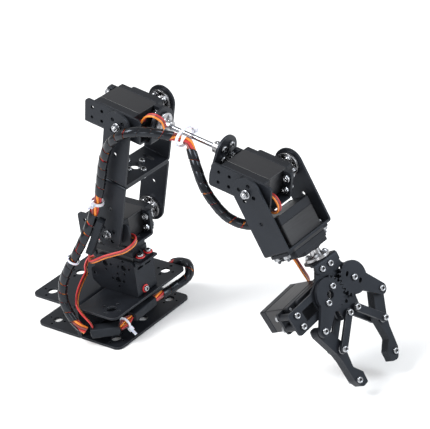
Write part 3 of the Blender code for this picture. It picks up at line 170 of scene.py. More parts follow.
# Cords
WRAP_PITCH = 9.4        # length of one turn of the spiral wrap
CORE_WIRES = 6
CORE_RADIUS = 2.25      # from the loom's middle to each wire's
CORE_WIRE = 1.12        # radius of each wire in a loom
CORE_TWIST = 0.11       # radians a millimetre
LOOSE_WIRE = 0.72
STRAND_RADIUS = 0.8
STRAND_PITCH = 1.52
TIE_THICK = 0.9


def spot(x=0.0, y=0.0, z=0.0, rx=0.0, ry=0.0, rz=0.0):
    """A frame at a place in millimetres, turned by angles in degrees."""
    turn = Euler([math.radians(value) for value in (rx, ry, rz)], "XYZ")
    return Matrix.Translation(Vector((x, y, z)) * MM) @ turn.to_matrix().to_4x4()


HERE = spot()
TURRET = spot(YAW_X)
SHOULDER_SEAT = TURRET @ spot(SHOULDER_X - YAW_X, 0, SHOULDER_Z)
SHOULDER = SHOULDER_SEAT @ spot(ry=ARM_LEAN)
ARM_TOP = SHOULDER @ spot(z=ARM_LENGTH + GAP)
ELBOW = ARM_TOP @ spot(ry=FOREARM_DROP - ARM_LEAN)
WRIST_SEAT = ELBOW @ spot(FOREARM_LENGTH, 0, WRIST_OFFSET)
WRIST = WRIST_SEAT @ spot(ry=90 + HAND_DROP - FOREARM_DROP)
CLAW = WRIST @ spot(0, ROLL_OFFSET, 0, rz=ROLL_REST)
ON_SERVO = spot(0, SERVO_FLOOR_Y, 0)


# ---------------------------------------------------------------- materials

class Paint:
    """One material and the nodes that feed its shader."""

    def __init__(self, name, roughness, metallic=0.0):
        self.material = bpy.data.materials.new(name)
        self.material.use_nodes = True
        self.tree = self.material.node_tree
        self.shader = self.tree.nodes["Principled BSDF"]
        self.shader.inputs["Roughness"].default_value = roughness
        self.shader.inputs["Metallic"].default_value = metallic
        self.place = self.node("ShaderNodeTexCoord").outputs["Object"]

    def node(self, kind, inputs=(), **settings):
        """A node with its sockets' values and its own settings."""
        made = self.tree.nodes.new(kind)
        for key, value in settings.items():
            setattr(made, key, value)
        for key, value in inputs:
            made.inputs[key].default_value = value
        return made

    def link(self, source, target):
        self.tree.links.new(source, target)

    def noise(self, scale, detail=3.0, stretch=(1.0, 1.0, 1.0)):
        """Noise of so many features a metre, stretched along the object's axes."""
        spread = self.node("ShaderNodeMapping", [("Scale", stretch)])
        self.link(self.place, spread.inputs["Vector"])
        made = self.node("ShaderNodeTexNoise", [("Scale", scale), ("Detail", detail)])
        self.link(spread.outputs["Vector"], made.inputs["Vector"])
        return made.outputs["Fac"]

    def colour(self, source, stops):
        """Base colour that moves between (level, colour) stops with a texture."""
        made = self.node("ShaderNodeValToRGB")
        ends = made.color_ramp.elements
        while len(ends) < len(stops):
            ends.new(0.5)
        for end, (at, colour) in zip(ends, stops):
            end.position = at
            end.color = (*colour, 1.0)
        self.link(source, made.inputs["Fac"])
        self.link(made.outputs["Color"], self.shader.inputs["Base Color"])

    def mottle(self, source, low, high):
        """Roughness that moves between two values with a texture."""
        made = self.node("ShaderNodeMapRange", [("From Min", 0.3), ("From Max", 0.7),
                                                ("To Min", low), ("To Max", high)])
        self.link(source, made.inputs["Value"])
        self.link(made.outputs["Result"], self.shader.inputs["Roughness"])

    def relief(self, layers):
        """Bumps, each (texture, depth in millimetres, strength)."""
        before = None
        for source, depth, strength in layers:
            made = self.node("ShaderNodeBump", [("Strength", strength), ("Distance", depth * MM)])
            self.link(source, made.inputs["Height"])
            if before:
                self.link(before, made.inputs["Normal"])
            before = made.outputs["Normal"]
        self.link(before, self.shader.inputs["Normal"])

    def rings(self, scale):
        """Fine rings round the object's Y axis, as a lathe leaves them."""
        made = self.node("ShaderNodeTexWave", [("Scale", scale), ("Distortion", 1.2), ("Detail", 2.0)],
                         wave_type="RINGS", rings_direction="Y")
        self.link(self.place, made.inputs["Vector"])
        return made.outputs["Fac"]

    def fixed(self, **values):
        for key, value in values.items():
            self.shader.inputs[key.replace("_", " ")].default_value = value


OWN = "own"             # a relief layer that follows the material's main texture
RINGS = "rings"         # a relief layer of a lathe's marks


def make_paint(name, roughness, metallic, texture, stops, mottle=None, relief=(), **values):
    """A material whose colour and roughness follow one texture. Each relief layer is
    (OWN, RINGS or another noise, depth in millimetres, strength)."""
    paint = Paint(name, roughness, metallic)
    main = paint.noise(*texture)
    paint.colour(main, stops)
    if mottle:
        paint.mottle(main, *mottle)
    layers = []
    for source, depth, strength in relief:
        if source == OWN:
            made = main
        elif source == RINGS:
            made = paint.rings(220.0)
        else:
            made = paint.noise(*source)
        layers.append((made, depth, strength))
    if layers:
        paint.relief(layers)
    paint.fixed(**values)
    return paint.material


def wire_skin(name, dark, light):
    """Soft PVC on one strand of a lead."""
    return make_paint(name, 0.34, 0.0, (240.0, 3.0), [(0.28, dark), (0.74, light)], (0.28, 0.42),
                      [((1500.0, 3.0), 0.04, 0.2)])


# Satin black coat on aluminium, with a fine orange-peel grain
SHEET_BLACK = make_paint(
    "coated_sheet", 0.42, 0.0, (45.0, 4.0),
    [(0.32, (0.0075, 0.0085, 0.0110)), (0.70, (0.0125, 0.0140, 0.0180))], (0.36, 0.48),
    [((2600.0, 2.0), 0.03, 0.20), ((320.0, 3.0), 0.08, 0.08)],
    Specular_IOR_Level=0.24, Specular_Tint=(0.78, 0.87, 1.0, 1.0))
# Edge wear where the coat is thin along a cut edge, and a painted highlight: lighter paint on the
# rounded edges
EDGE_WEAR_AND_HIGHLIGHT = make_paint(
    "edge_wear_and_painted_highlight", 0.32, 0.4, (420.0, 4.0),
    [(0.35, (0.020, 0.021, 0.025)), (0.72, (0.070, 0.075, 0.085))], (0.28, 0.42),
    [((1800.0, 3.0), 0.03, 0.2)])
# Moulded servo case: near-black, with a fine spark-eroded texture
CASE = make_paint(
    "case_plastic", 0.42, 0.0, (70.0, 3.0),
    [(0.30, (0.0065, 0.0070, 0.0085)), (0.72, (0.0110, 0.0120, 0.0145))], (0.36, 0.50),
    [((3400.0, 2.0), 0.03, 0.25)],
    Specular_IOR_Level=0.25, Specular_Tint=(0.82, 0.88, 1.0, 1.0))
# The servo's middle case: black anodised, brushed along its length
CASE_METAL = make_paint(
    "case_alloy", 0.4, 0.2, (900.0, 3.0, (0.06, 1.0, 1.0)),
    [(0.30, (0.011, 0.011, 0.013)), (0.75, (0.019, 0.020, 0.023))], (0.34, 0.46),
    [(OWN, 0.02, 0.25)])
# Bright aluminium off a lathe
ALLOY = make_paint(
    "turned_alloy", 0.2, 1.0, (120.0, 3.0),
    [(0.30, (0.30, 0.30, 0.31)), (0.72, (0.44, 0.44, 0.45))], (0.24, 0.32),
    [(RINGS, 0.006, 0.12)], Anisotropic=0.25)
# Polished rod, with faint marks along its length
ROD = make_paint(
    "drawn_rod", 0.2, 1.0, (900.0, 3.0, (0.03, 1.0, 1.0)),
    [(0.30, (0.23, 0.24, 0.26)), (0.75, (0.36, 0.37, 0.40))], (0.14, 0.28),
    [(OWN, 0.006, 0.12)])
# Zinc-plated fasteners, slightly blue
STEEL = make_paint(
    "plated_steel", 0.25, 1.0, (900.0, 4.0),
    [(0.30, (0.27, 0.28, 0.30)), (0.72, (0.45, 0.46, 0.48))], (0.20, 0.32),
    [((1800.0, 3.0), 0.008, 0.12)])
# Painted shade at the bottom of a socket: darker steel where the recess lies in shade
SHADOW = make_paint(
    "socket_shadow", 0.6, 0.6, (2000.0,),
    [(0.3, (0.045, 0.045, 0.048)), (0.7, (0.090, 0.090, 0.095))])
# Moulded red washers
RED = make_paint(
    "red_nylon", 0.35, 0.0, (500.0, 3.0),
    [(0.30, (0.50, 0.010, 0.014)), (0.72, (0.66, 0.020, 0.024))], (0.26, 0.40),
    [((2600.0, 3.0), 0.03, 0.2)], Coat_Weight=0.25, Coat_Roughness=0.2)
# Glossy black spiral wrap with fine draw lines and scuffs
WRAP = make_paint(
    "spiral_plastic", 0.18, 0.0, (160.0, 5.0),
    [(0.30, (0.0040, 0.0042, 0.0052)), (0.75, (0.0085, 0.0092, 0.0112))], (0.14, 0.26),
    [((1400.0, 2.0), 0.02, 0.15), (OWN, 0.12, 0.08)],
    Specular_IOR_Level=0.38, Specular_Tint=(0.80, 0.88, 1.0, 1.0))
BROWN_WIRE = wire_skin("brown_wire", (0.150, 0.034, 0.034), (0.240, 0.060, 0.055))
RED_WIRE = wire_skin("red_wire", (0.400, 0.018, 0.022), (0.540, 0.040, 0.038))
ORANGE_WIRE = wire_skin("orange_wire", (0.700, 0.180, 0.018), (0.840, 0.280, 0.040))
WIRE_COLOURS = (RED_WIRE, ORANGE_WIRE, BROWN_WIRE)
# Matte black sleeve over a connector
SLEEVE = make_paint(
    "sleeve_plastic", 0.55, 0.0, (90.0, 4.0),
    [(0.30, (0.0070, 0.0080, 0.0100)), (0.72, (0.0140, 0.0160, 0.0200))], (0.46, 0.62),
    [((1500.0, 2.0), 0.06, 0.30), (OWN, 0.4, 0.10)],
    Specular_IOR_Level=0.25, Specular_Tint=(0.80, 0.88, 1.0, 1.0))
# Natural nylon of a zip tie, a little translucent
NYLON = make_paint(
    "tie_nylon", 0.38, 0.0, (400.0, 3.0),
    [(0.30, (0.56, 0.58, 0.66)), (0.72, (0.68, 0.70, 0.77))], (0.30, 0.46),
    [((900.0, 3.0), 0.06, 0.2)], Subsurface_Weight=0.15, Subsurface_Scale=0.002)
# White sweep under the object
FLOOR = make_paint(
    "studio_floor", 0.85, 0.0, (6.0, 2.0), [(0.3, (0.93, 0.93, 0.93)), (0.7, (0.96, 0.96, 0.96))])


# ---------------------------------------------------------------- shapes

def place(axis, a, b, c):
    """A point whose depth c runs along the named axis."""
    if axis == "x":
        return Vector((c, a, b)) * MM
    if axis == "y":
        return Vector((a, c, b)) * MM
    return Vector((a, b, c)) * MM


def circle(a, b, radius, sides, turn=0.0):
    """Corners of a regular polygon, the first at turn degrees."""
    points = []
    for step in range(sides):
        angle = math.radians(turn) + 2 * math.pi * step / sides
        points.append((a + radius * math.cos(angle), b + radius * math.sin(angle)))
    return points


def ring_of_four(a, b, radius, start=45.0):
    """Four places on a circle, the first at start degrees."""
    return circle(a, b, radius, 4, start)


def hole(a, b, radius):
    """A round hole, with as many sides as its size needs."""
    return circle(a, b, radius, 16 if radius < 2.2 else 28)


def arc(a, b, radius, start, end, steps):
    """Points on a circle from start to end degrees."""
    points = []
    for step in range(steps + 1):
        angle = math.radians(start + (end - start) * step / steps)
        points.append((a + radius * math.cos(angle), b + radius * math.sin(angle)))
    return points


def slot(a, b, radius, half_length, turn, steps=7):
    """A long hole with round ends, its length turned from the first direction."""
    points = []
    for side in (1, -1):
        start = -90 if side == 1 else 90
        for step in range(steps + 1):
            angle = math.radians(start + 180 * step / steps)
            points.append((side * half_length + radius * math.cos(angle),
                           radius * math.sin(angle)))
    spin = math.radians(turn)
    return [(a + x * math.cos(spin) - y * math.sin(spin),
             b + x * math.sin(spin) + y * math.cos(spin)) for x, y in points]


def rounded_box(low_a, low_b, high_a, high_b, radius, steps=6):
    points = arc(high_a - radius, high_b - radius, radius, 0, 90, steps)
    points += arc(low_a + radius, high_b - radius, radius, 90, 180, steps)
    points += arc(low_a + radius, low_b + radius, radius, 180, 270, steps)
    points += arc(high_a - radius, low_b + radius, radius, 270, 360, steps)
    return points


def rounded_outline(corners):
    """Round each (a, b, radius) corner of a closed outline."""
    points = []
    count = len(corners)
    for index, (a, b, radius) in enumerate(corners):
        here = Vector((a, b))
        if radius <= 0:
            points.append((a, b))
            continue
        before = (Vector(corners[index - 1][:2]) - here).normalized()
        after = (Vector(corners[(index + 1) % count][:2]) - here).normalized()
        half = before.angle(after) / 2
        reach = radius / math.tan(half)
        centre = here + (before + after).normalized() * radius / math.sin(half)
        start = here + before * reach - centre
        end = here + after * reach - centre
        turn = start.angle_signed(end)
        steps = max(3, round(abs(math.degrees(turn)) / 11))
        first = math.atan2(start.y, start.x)
        for step in range(steps + 1):
            angle = first - turn * step / steps
            points.append((centre.x + radius * math.cos(angle),
                           centre.y + radius * math.sin(angle)))
    return points


def strip(path, thickness=SHEET, bend=BEND, steps=6):
    """Outline of a folded strip of sheet that follows a centre line."""
    path = [Vector(point) for point in path]
    samples = []
    for index, point in enumerate(path):
        if index == 0 or index == len(path) - 1:
            other = path[1] - point if index == 0 else point - path[-2]
            other.normalize()
            samples.append((point, Vector((-other.y, other.x))))
            continue
        into = (point - path[index - 1]).normalized()
        out = (path[index + 1] - point).normalized()
        turn = math.atan2(into.cross(out), into.dot(out))
        side = 1 if turn > 0 else -1
        normal = Vector((-into.y, into.x))
        start = point - into * bend * math.tan(abs(turn) / 2)
        centre = start + normal * side * bend
        for step in range(steps + 1):
            angle = turn * step / steps
            here = Vector((normal.x * math.cos(angle) - normal.y * math.sin(angle),
                           normal.x * math.sin(angle) + normal.y * math.cos(angle)))
            samples.append((centre - here * side * bend, here))
    half = thickness / 2
    left = [tuple(point + normal * half) for point, normal in samples]
    right = [tuple(point - normal * half) for point, normal in samples]
    return left + right[::-1]


def skin(mesh, one, two, slot_index=0, smooth=False):
    """Join two rings of vertices with a band of faces."""
    for step in range(len(one)):
        after = (step + 1) % len(one)
        face = mesh.faces.new((one[step], one[after], two[after], two[step]))
        face.material_index = slot_index
        face.smooth = smooth


def add_slab(mesh, outline, low, high, axis, holes=()):
    """Add a flat plate with holes: an outline carried from low to high."""
    rims = {low: [], high: []}
    for loop in [outline, *holes]:
        rings = {}
        for depth in (low, high):
            rings[depth] = [mesh.verts.new(place(axis, a, b, depth)) for a, b in loop]
        for step, vertex in enumerate(rings[low]):
            after = (step + 1) % len(loop)
            mesh.faces.new((vertex, rings[low][after], rings[high][after], rings[high][step]))
            for depth in (low, high):
                edge = mesh.edges.get((rings[depth][step], rings[depth][after]))
                rims[depth].append(edge)
    for depth in (low, high):
        if holes:
            bmesh.ops.triangle_fill(mesh, use_beauty=True, edges=rims[depth])
        else:
            mesh.faces.new(rim_order(rims[depth]))


def rim_order(edges):
    """The corners of a closed loop of edges, in order."""
    first, second = edges[0].verts
    if first not in edges[-1].verts:
        first, second = second, first
    corners = [first]
    for edge in edges[:-1]:
        corners.append(edge.other_vert(corners[-1]))
    return corners


HEX = "hex"             # marks a profile's point as a corner of a hexagon


def add_turned(mesh, profile, axis, a=0.0, b=0.0, sides=24, turn=0.0):
    """Turn a closed profile of (radius, depth) about a line; a point marked HEX is six-sided."""
    rings = []
    for radius, depth, *shape in profile:
        if radius <= 0:
            rings.append([mesh.verts.new(place(axis, a, b, depth))])
            continue
        ring = []
        for step in range(sides):
            angle = 2 * math.pi * step / sides
            reach = radius
            if shape:
                reach *= math.cos(math.pi / 6) / math.cos(angle % (math.pi / 3) - math.pi / 6)
            angle += math.radians(turn)
            point = place(axis, a + reach * math.cos(angle), b + reach * math.sin(angle), depth)
            ring.append(mesh.verts.new(point))
        rings.append(ring)
    pairs = list(zip(rings, rings[1:]))
    if len(rings[0]) > 1 and len(rings[-1]) > 1:
        pairs.append((rings[-1], rings[0]))
    for one, two in pairs:
        if len(one) > 1 and len(two) > 1:
            skin(mesh, one, two)
            continue
        for step in range(sides):
            after = (step + 1) % sides
            if len(one) == 1:
                mesh.faces.new((one[0], two[step], two[after]))
            else:
                mesh.faces.new((one[step], one[after], two[0]))


def add_head(mesh, axis, a, b, head, way, radius, turn=0.0):
    """Domed screw head with a hexagon socket, standing on depth head; the faces inside the socket get
    painted shade.
    """
    top = head - way * SCREW_HEAD_HEIGHT
    socket = radius * 0.52
    profile = [(0, top + way * 1.1), (socket, top + way * 1.1, HEX),
               (socket, top + way * 0.15, HEX), (socket + 0.22, top + way * 0.02),
               (radius * 0.70, top), (radius * 0.86, top + way * 0.22),
               (radius * 0.96, top + way * 0.62), (radius, top + way * 1.1),
               (radius, head - way * 0.1), (radius - 0.1, head), (0, head)]
    before = set(mesh.faces)
    add_turned(mesh, profile, axis, a, b, 24, turn)
    centre = place(axis, a, b, 0.0)
    for face in mesh.faces:
        if face not in before:
            offset = face.calc_center_median() - centre
            depth = place(axis, 0.0, 0.0, 1.0).normalized()
            off_axis = (offset - depth * offset.dot(depth)).length
            inside = way * (offset.dot(depth) / MM - top)
            # faces inside the socket take slot 1, the painted shade of SHADOW
            if off_axis < socket * MM and 0.1 < inside < 1.2:
                face.material_index = 1


def add_shank(mesh, axis, a, b, head, tip, way):
    """Screw shank whose last few millimetres are threaded."""
    threads = min(10, int(abs(tip - head) / 0.5) - 1)
    profile = [(0, head), (SCREW_RADIUS, head)]
    for step in range(threads, 0, -1):
        here = tip - way * (0.4 + step * 0.5)
        profile += [(SCREW_RADIUS, here), (SCREW_RADIUS * 0.82, here + way * 0.25)]
    profile += [(SCREW_RADIUS, tip - way * 0.35), (SCREW_RADIUS * 0.7, tip), (0, tip)]
    add_turned(mesh, profile, axis, a, b, 16)


def add_nut(mesh, axis, a, b, near, far, radius, turn=0.0):
    way = 1 if far > near else -1
    profile = [(1.3, near), (radius * 0.9, near), (radius, near + way * 0.35, HEX),
               (radius, far - way * 0.35, HEX), (radius * 0.88, far), (1.75, far),
               (1.4, far - way * 0.3)]
    add_turned(mesh, profile, axis, a, b, 24, turn)


def add_washer(mesh, axis, a, b, near, far, radius, bore=1.5):
    way = 1 if far > near else -1
    cut = way * min(0.18, abs(far - near) / 4)
    profile = [(bore, near), (radius - 0.18, near), (radius, near + cut), (radius, far - cut),
               (radius - 0.18, far), (bore, far)]
    add_turned(mesh, profile, axis, a, b, 28)


def add_bolt(mesh, axis, a, b, head, tip, nut=None, collar=None, head_radius=SCREW_HEAD_RADIUS):
    """A screw, with the nut and the steel collar it carries, each (near, far, radius)."""
    way = 1 if tip > head else -1
    turn = (a * 37.0 + b * 61.0) % 60
    add_head(mesh, axis, a, b, head, way, head_radius, turn)
    add_shank(mesh, axis, a, b, head, tip, way)
    if collar:
        add_washer(mesh, axis, a, b, *collar, 1.2)
    if nut:
        add_nut(mesh, axis, a, b, *nut, turn * 1.7)


def add_nut_bolt(mesh, axis, a, b, head, nut, collar=None, head_radius=SCREW_HEAD_RADIUS):
    """A screw whose tip ends flush with its nut, which stands on depth nut."""
    tip = nut + (NUT_HEIGHT if nut > head else -NUT_HEIGHT)
    add_bolt(mesh, axis, a, b, head, tip, (nut, tip, NUT_RADIUS), collar, head_radius)


def add_object(name, data):
    item = bpy.data.objects.new(name, data)
    bpy.context.scene.collection.objects.link(item)
    return item


def bare_object(name, mesh, materials):
    """Turn a bmesh into an object at the origin, with its faces pointing out."""
    bmesh.ops.recalc_face_normals(mesh, faces=mesh.faces)
    data = bpy.data.meshes.new(name)
    mesh.to_mesh(data)
    mesh.free()
    for material in materials:
        data.materials.append(material)
    return add_object(name, data)


def finish(name, mesh, material, smooth=32.0):
    """An object of one material, smooth but for its sharp edges; steel gets a second slot of painted
    shade for its sockets.
    """
    item = bare_object(name, mesh, (STEEL, SHADOW) if material == STEEL else (material,))
    shade(item, smooth)
    return item


def slab(name, outline, low, high, axis, holes=(), material=SHEET_BLACK):
    """An object that is one flat plate."""
    mesh = bmesh.new()
    add_slab(mesh, outline, low, high, axis, holes)
    return finish(name, mesh, material)


def lathe(name, profile, axis, sides, material=ALLOY):
    """An object turned about an axis through the origin."""
    mesh = bmesh.new()
    add_turned(mesh, profile, axis, sides=sides)
    return finish(name, mesh, material)


def shade(item, angle=32.0):
    item.data.shade_smooth()
    item.data.set_sharp_from_angle(angle=math.radians(angle))


def combine(item, tool, operation):
    """Apply one Boolean with a tool object, then take the tool away."""
    change = item.modifiers.new("shape", "BOOLEAN")
    change.operation = operation
    change.object = tool
    graph = bpy.context.evaluated_depsgraph_get()
    data = bpy.data.meshes.new_from_object(item.evaluated_get(graph))
    item.modifiers.clear()
    material = item.data.materials[0]
    work = bmesh.new()
    work.from_mesh(data)
    bmesh.ops.remove_doubles(work, verts=work.verts, dist=0.000002)
    bmesh.ops.dissolve_degenerate(work, edges=work.edges, dist=0.000002)
    bmesh.ops.recalc_face_normals(work, faces=work.faces)
    work.to_mesh(data)
    work.free()
    data.materials.clear()
    data.materials.append(material)
    for face in data.polygons:
        face.material_index = 0
    item.data = data
    shade(item)
    bpy.data.objects.remove(tool)


def drill(item, loops):
    """Cut prisms: each entry is (axis, outline, low, high)."""
    mesh = bmesh.new()
    for axis, outline, low, high in loops:
        add_slab(mesh, outline, low, high, axis)
    combine(item, finish("cutter", mesh, SHEET_BLACK), "DIFFERENCE")


def keep_inside(item, axis, outline, low, high):
    """Trim an object to a prism."""
    combine(item, slab("cutter", outline, low, high, axis), "INTERSECT")


def soften(item, width, edge=None):
    """Round the sharp edges; edge is the material that the rounding shows, such as the lighter paint of
    edge wear and painted highlight.
    """
    if edge:
        item.data.materials.append(edge)
    change = item.modifiers.new("edges", "BEVEL")
    change.width = width * MM
    change.segments = 2
    change.limit_method = "ANGLE"
    change.angle_limit = math.radians(40)
    change.harden_normals = True
    change.material = 1 if edge else -1


def settle(item, where, body, nodes=()):
    """Put a piece in the shared frame, on its body, in place of its CAD nodes."""
    item.matrix_world = where
    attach(item, body)
    if nodes:
        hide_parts(*([nodes] if isinstance(nodes, str) else nodes))


def sheet_piece(item, where, body, nodes=()):
    # the rounded edges show edge wear and a painted highlight
    soften(item, SHEET_ROUNDING, EDGE_WEAR_AND_HIGHLIGHT)
    settle(item, where, body, nodes)


def steel_piece(name, mesh, where, body, nodes=()):
    settle(finish(name, mesh, STEEL), where, body, nodes)


def red_piece(name, mesh, where, body):
    settle(finish(name, mesh, RED), where, body, ())


def bores(axis, places, radius, low, high):
    """Round holes of one size, ready to drill along an axis from low to high."""
    return [(axis, hole(a, b, radius), low, high) for a, b in places]


# ---------------------------------------------------------------- servos

def spline_outline(radius, teeth):
    """Section of a splined shaft."""
    points = []
    for step in range(teeth * 2):
        reach = radius if step % 2 else radius * 0.88
        angle = math.pi * step / teeth
        points.append((reach * math.cos(angle), reach * math.sin(angle)))
    return points


def make_servo(name, where, body):
    """One servo as its real parts: bottom cap, middle case with ears, top case, gearbox
    step, boss, splined shaft and case screws, about its own shaft."""
    low = -SERVO_LONG
    high = SERVO_SHORT
    half = SERVO_HALF

    def put(item):
        settle(item, where, body, name)

    def case(word, outline, bottom, top, material=CASE, holes=(), width=CASE_ROUNDING):
        item = slab(f"{name}_{word}", outline, bottom, top, "y", holes, material)
        soften(item, width)
        put(item)

    plan = rounded_box(low, -half, high, half, 1.2)
    corners = [(a, b) for a in (low + 2.6, high - 2.6) for b in (-7.4, 7.4)]
    case("bottom_cap", plan, 0.0, 7.0, CASE, [hole(a, b, 1.55) for a, b in corners])
    inner = rounded_box(low + 0.3, -half + 0.3, high - 0.3, half - 0.3, 1.0)
    case("core", inner, 2.0, SERVO_HEIGHT - 4.0, CASE, (), 0.1)
    case("middle_case", plan, 7.35, EAR_HIGH, CASE_METAL)
    ears = [(low - EAR_REACH, low + 2.0, low, -1), (high - 2.0, high + EAR_REACH, high, 1)]
    for index, (start, end, edge, out) in enumerate(ears):
        outline = rounded_box(start, -half + 0.6, end, half - 0.6, 1.4)
        holes = [hole(edge + out * EAR_HOLE, b, CLEAR_HOLE) for b in (-EAR_PITCH, EAR_PITCH)]
        case(f"ear_{index + 1}", outline, EAR_LOW, EAR_HIGH, CASE, holes, 0.3)
        rib = [(edge - out, EAR_HIGH - 0.2), (edge + out * 5.0, EAR_HIGH - 0.2),
               (edge - out, EAR_HIGH + 4.5)]
        put(slab(f"{name}_rib_{index + 1}", rib, -0.7, 0.7, "z", (), CASE))
    case("top_case", plan, EAR_HIGH + 0.35, SERVO_HEIGHT - 3.2)
    step_plan = rounded_box(low + 8.6, -half + 0.2, high - 0.5, half - 0.2, 2.4)
    case("gearbox", step_plan, SERVO_HEIGHT - 3.6, SERVO_HEIGHT)
    boss = [(0, SERVO_HEIGHT - 1), (6.6, SERVO_HEIGHT - 1), (6.6, SERVO_HEIGHT + 0.3),
            (6.1, BOSS_TOP), (3.4, BOSS_TOP), (3.2, BOSS_TOP - 0.6), (0, BOSS_TOP - 0.6)]
    put(lathe(f"{name}_boss", boss, "y", 40, CASE))
    put(slab(f"{name}_shaft", spline_outline(SHAFT_RADIUS, 24), BOSS_TOP - 0.7, SHAFT_TOP, "y",
             (), ALLOY))
    mesh = bmesh.new()
    under = [(0, 1.2), (0.62, 1.2, HEX), (0.62, 0.55, HEX), (1.2, 0.5), (1.42, 0.85),
             (1.42, 2.4), (0, 2.4)]
    above = [(0, SERVO_HEIGHT - 3.4), (1.3, SERVO_HEIGHT - 3.4), (1.3, SERVO_HEIGHT - 2.9),
             (0.9, SERVO_HEIGHT - 2.6), (0.5, SERVO_HEIGHT - 2.6, HEX),
             (0.5, SERVO_HEIGHT - 3.0, HEX), (0, SERVO_HEIGHT - 3.0)]
    for a, b in corners:
        add_turned(mesh, under, "y", a, b)
        add_turned(mesh, above, "y", a if a < 0 else high - 2.0, b)
    steel_piece(f"{name}_case_screws", mesh, where, body)


def ear_places():
    """The four screw places in a servo's ears, about its shaft."""
    return [(a, b) for a in (SERVO_SHORT + EAR_HOLE, -SERVO_LONG - EAR_HOLE)
            for b in (-EAR_PITCH, EAR_PITCH)]


def make_ear_screws(name, style, where, body):
    """The four screws through a servo's ears. Styles: heads_up, washers, tips_up."""
    mesh = bmesh.new()
    reds = bmesh.new()
    tab = EAR_LOW - GAP - SHEET - GAP
    for a, b in ear_places():
        if style == "tips_up":
            add_bolt(mesh, "y", a, b, tab, EAR_HIGH + 5.0,
                     (EAR_HIGH, EAR_HIGH + NUT_HEIGHT, NUT_RADIUS), head_radius=1.7)
        elif style == "washers":
            add_bolt(mesh, "y", a, b, EAR_HIGH + RED_WASHER, tab - 1.5)
            add_washer(reds, "y", a, b, EAR_HIGH + RED_WASHER, EAR_HIGH, 4.0)
        else:
            add_nut_bolt(mesh, "y", a, b, EAR_HIGH, tab)
    steel_piece(f"{name}_ear_screws", mesh, where, body)
    if style == "washers":
        red_piece(f"{name}_ear_washers", reds, where, body)
    else:
        reds.free()


def make_disc(name, where, body, screws=(), under=False):
    """Output disc: a drilled, chamfered plate on a hub with a clamp screw."""
    bore = SHAFT_RADIUS + 0.35
    holes = [circle(0, 0, bore, 28)]
    holes += [hole(a, b, 1.25) for a, b in ring_of_four(0, 0, DISC_SCREWS, 45.0 if under else 0.0)]
    holes += [hole(a, b, 0.7) for a, b in circle(0, 0, 8.4, 8, 22.5)]
    rim = circle(0, 0, DISC_RADIUS, 64)
    plate = slab(f"{name}_plate", rim, DISC_LOW, DISC_TOP, "y", holes, ALLOY)
    soften(plate, 0.3)
    settle(plate, where, body, name)
    hub = [(bore, HUB_LOW), (HUB_RADIUS - 0.3, HUB_LOW), (HUB_RADIUS, HUB_LOW + 0.3),
           (HUB_RADIUS, DISC_LOW - 0.4), (HUB_RADIUS + 0.4, DISC_LOW + 0.1), (bore, DISC_LOW + 0.1)]
    settle(lathe(f"{name}_hub", hub, "y", 40), where, body, name)
    mesh = bmesh.new()
    add_turned(mesh, [(0, 1.0), (1.6, 1.0), (1.6, 5.4), (1.3, 5.7), (0.8, 5.7, HEX), (0.8, 4.9, HEX),
                      (0, 4.9)], "x", 42.7, 0)
    head, tip = DISC_TOP + GAP + SHEET + GAP, DISC_LOW - 2.6
    if under:
        head, tip = DISC_LOW, DISC_TOP + GAP + SHEET - 0.1
    for a, b in screws:
        nut = None if under else (DISC_LOW, DISC_LOW - 1.9, 2.35)
        add_bolt(mesh, "y", a, b, head, tip, nut, head_radius=2.2)
    steel_piece(f"{name}_screws", mesh, where, body)


# ---------------------------------------------------------------- brackets

def make_yoke(name, where, body, servo_window=False):
    """Long U bracket: its axis is Y through the origin and its base is out along +Z."""
    half = SHEET / 2
    reach = YOKE_REACH - half
    side = YOKE_HALF - half
    tip = -YOKE_WIDTH / 2
    item = slab(name, strip([(-side, tip), (-side, reach), (side, reach), (side, tip)]),
                -YOKE_WIDTH / 2, YOKE_WIDTH / 2, "x")
    round_end = arc(0, 0, YOKE_WIDTH / 2, 180, 360, 36)
    outline = [(YOKE_WIDTH / 2, YOKE_REACH + 1), (-YOKE_WIDTH / 2, YOKE_REACH + 1)]
    keep_inside(item, "y", round_end + outline, -YOKE_HALF - 1, YOKE_HALF + 1)
    near_leg = (-YOKE_HALF - 1, -YOKE_HALF + SHEET + 1)
    far_leg = (YOKE_HALF - SHEET - 1, YOKE_HALF + 1)
    holes = bores("y", [(0, 0)], CLEAR_HOLE, *near_leg) + bores("y", [(0, 0)], 3.2, *far_leg)
    for leg in (near_leg, far_leg):
        holes += bores("y", ring_of_four(0, 0, DISC_SCREWS) + [(0, 26.0)], CLEAR_HOLE, *leg)
    base = (YOKE_REACH - SHEET - 1, YOKE_REACH + 1)
    if servo_window:
        across = SERVO_HALF + 0.4
        near = ROLL_OFFSET - SERVO_LONG - 0.5
        far = ROLL_OFFSET + SERVO_SHORT + 0.5
        holes.append(("z", rounded_box(-across, near, across, far, 0.8), *base))
        holes += bores("z", [(across, ROLL_OFFSET + along) for along, across in ear_places()],
                       CLEAR_HOLE, *base)
    else:
        holes += bores("z", [(0, 0)], 5.0, *base)
        holes += bores("z", ring_of_four(0, 0, ARM_BOLTS, 0.0), CLEAR_HOLE, *base)
        for b in (-17.0, 17.0):
            holes.append(("z", slot(0, b, 1.6, 4.0, 0), *base))
    drill(item, holes)
    sheet_piece(item, where, body, name)


def bracket_floor_screws():
    """The three screw places of the turning disc that lie on the bracket's floor."""
    return [(a, b) for a, b in ring_of_four(YAW_X - SHOULDER_X, 0, DISC_SCREWS, 0.0) if b < 2]


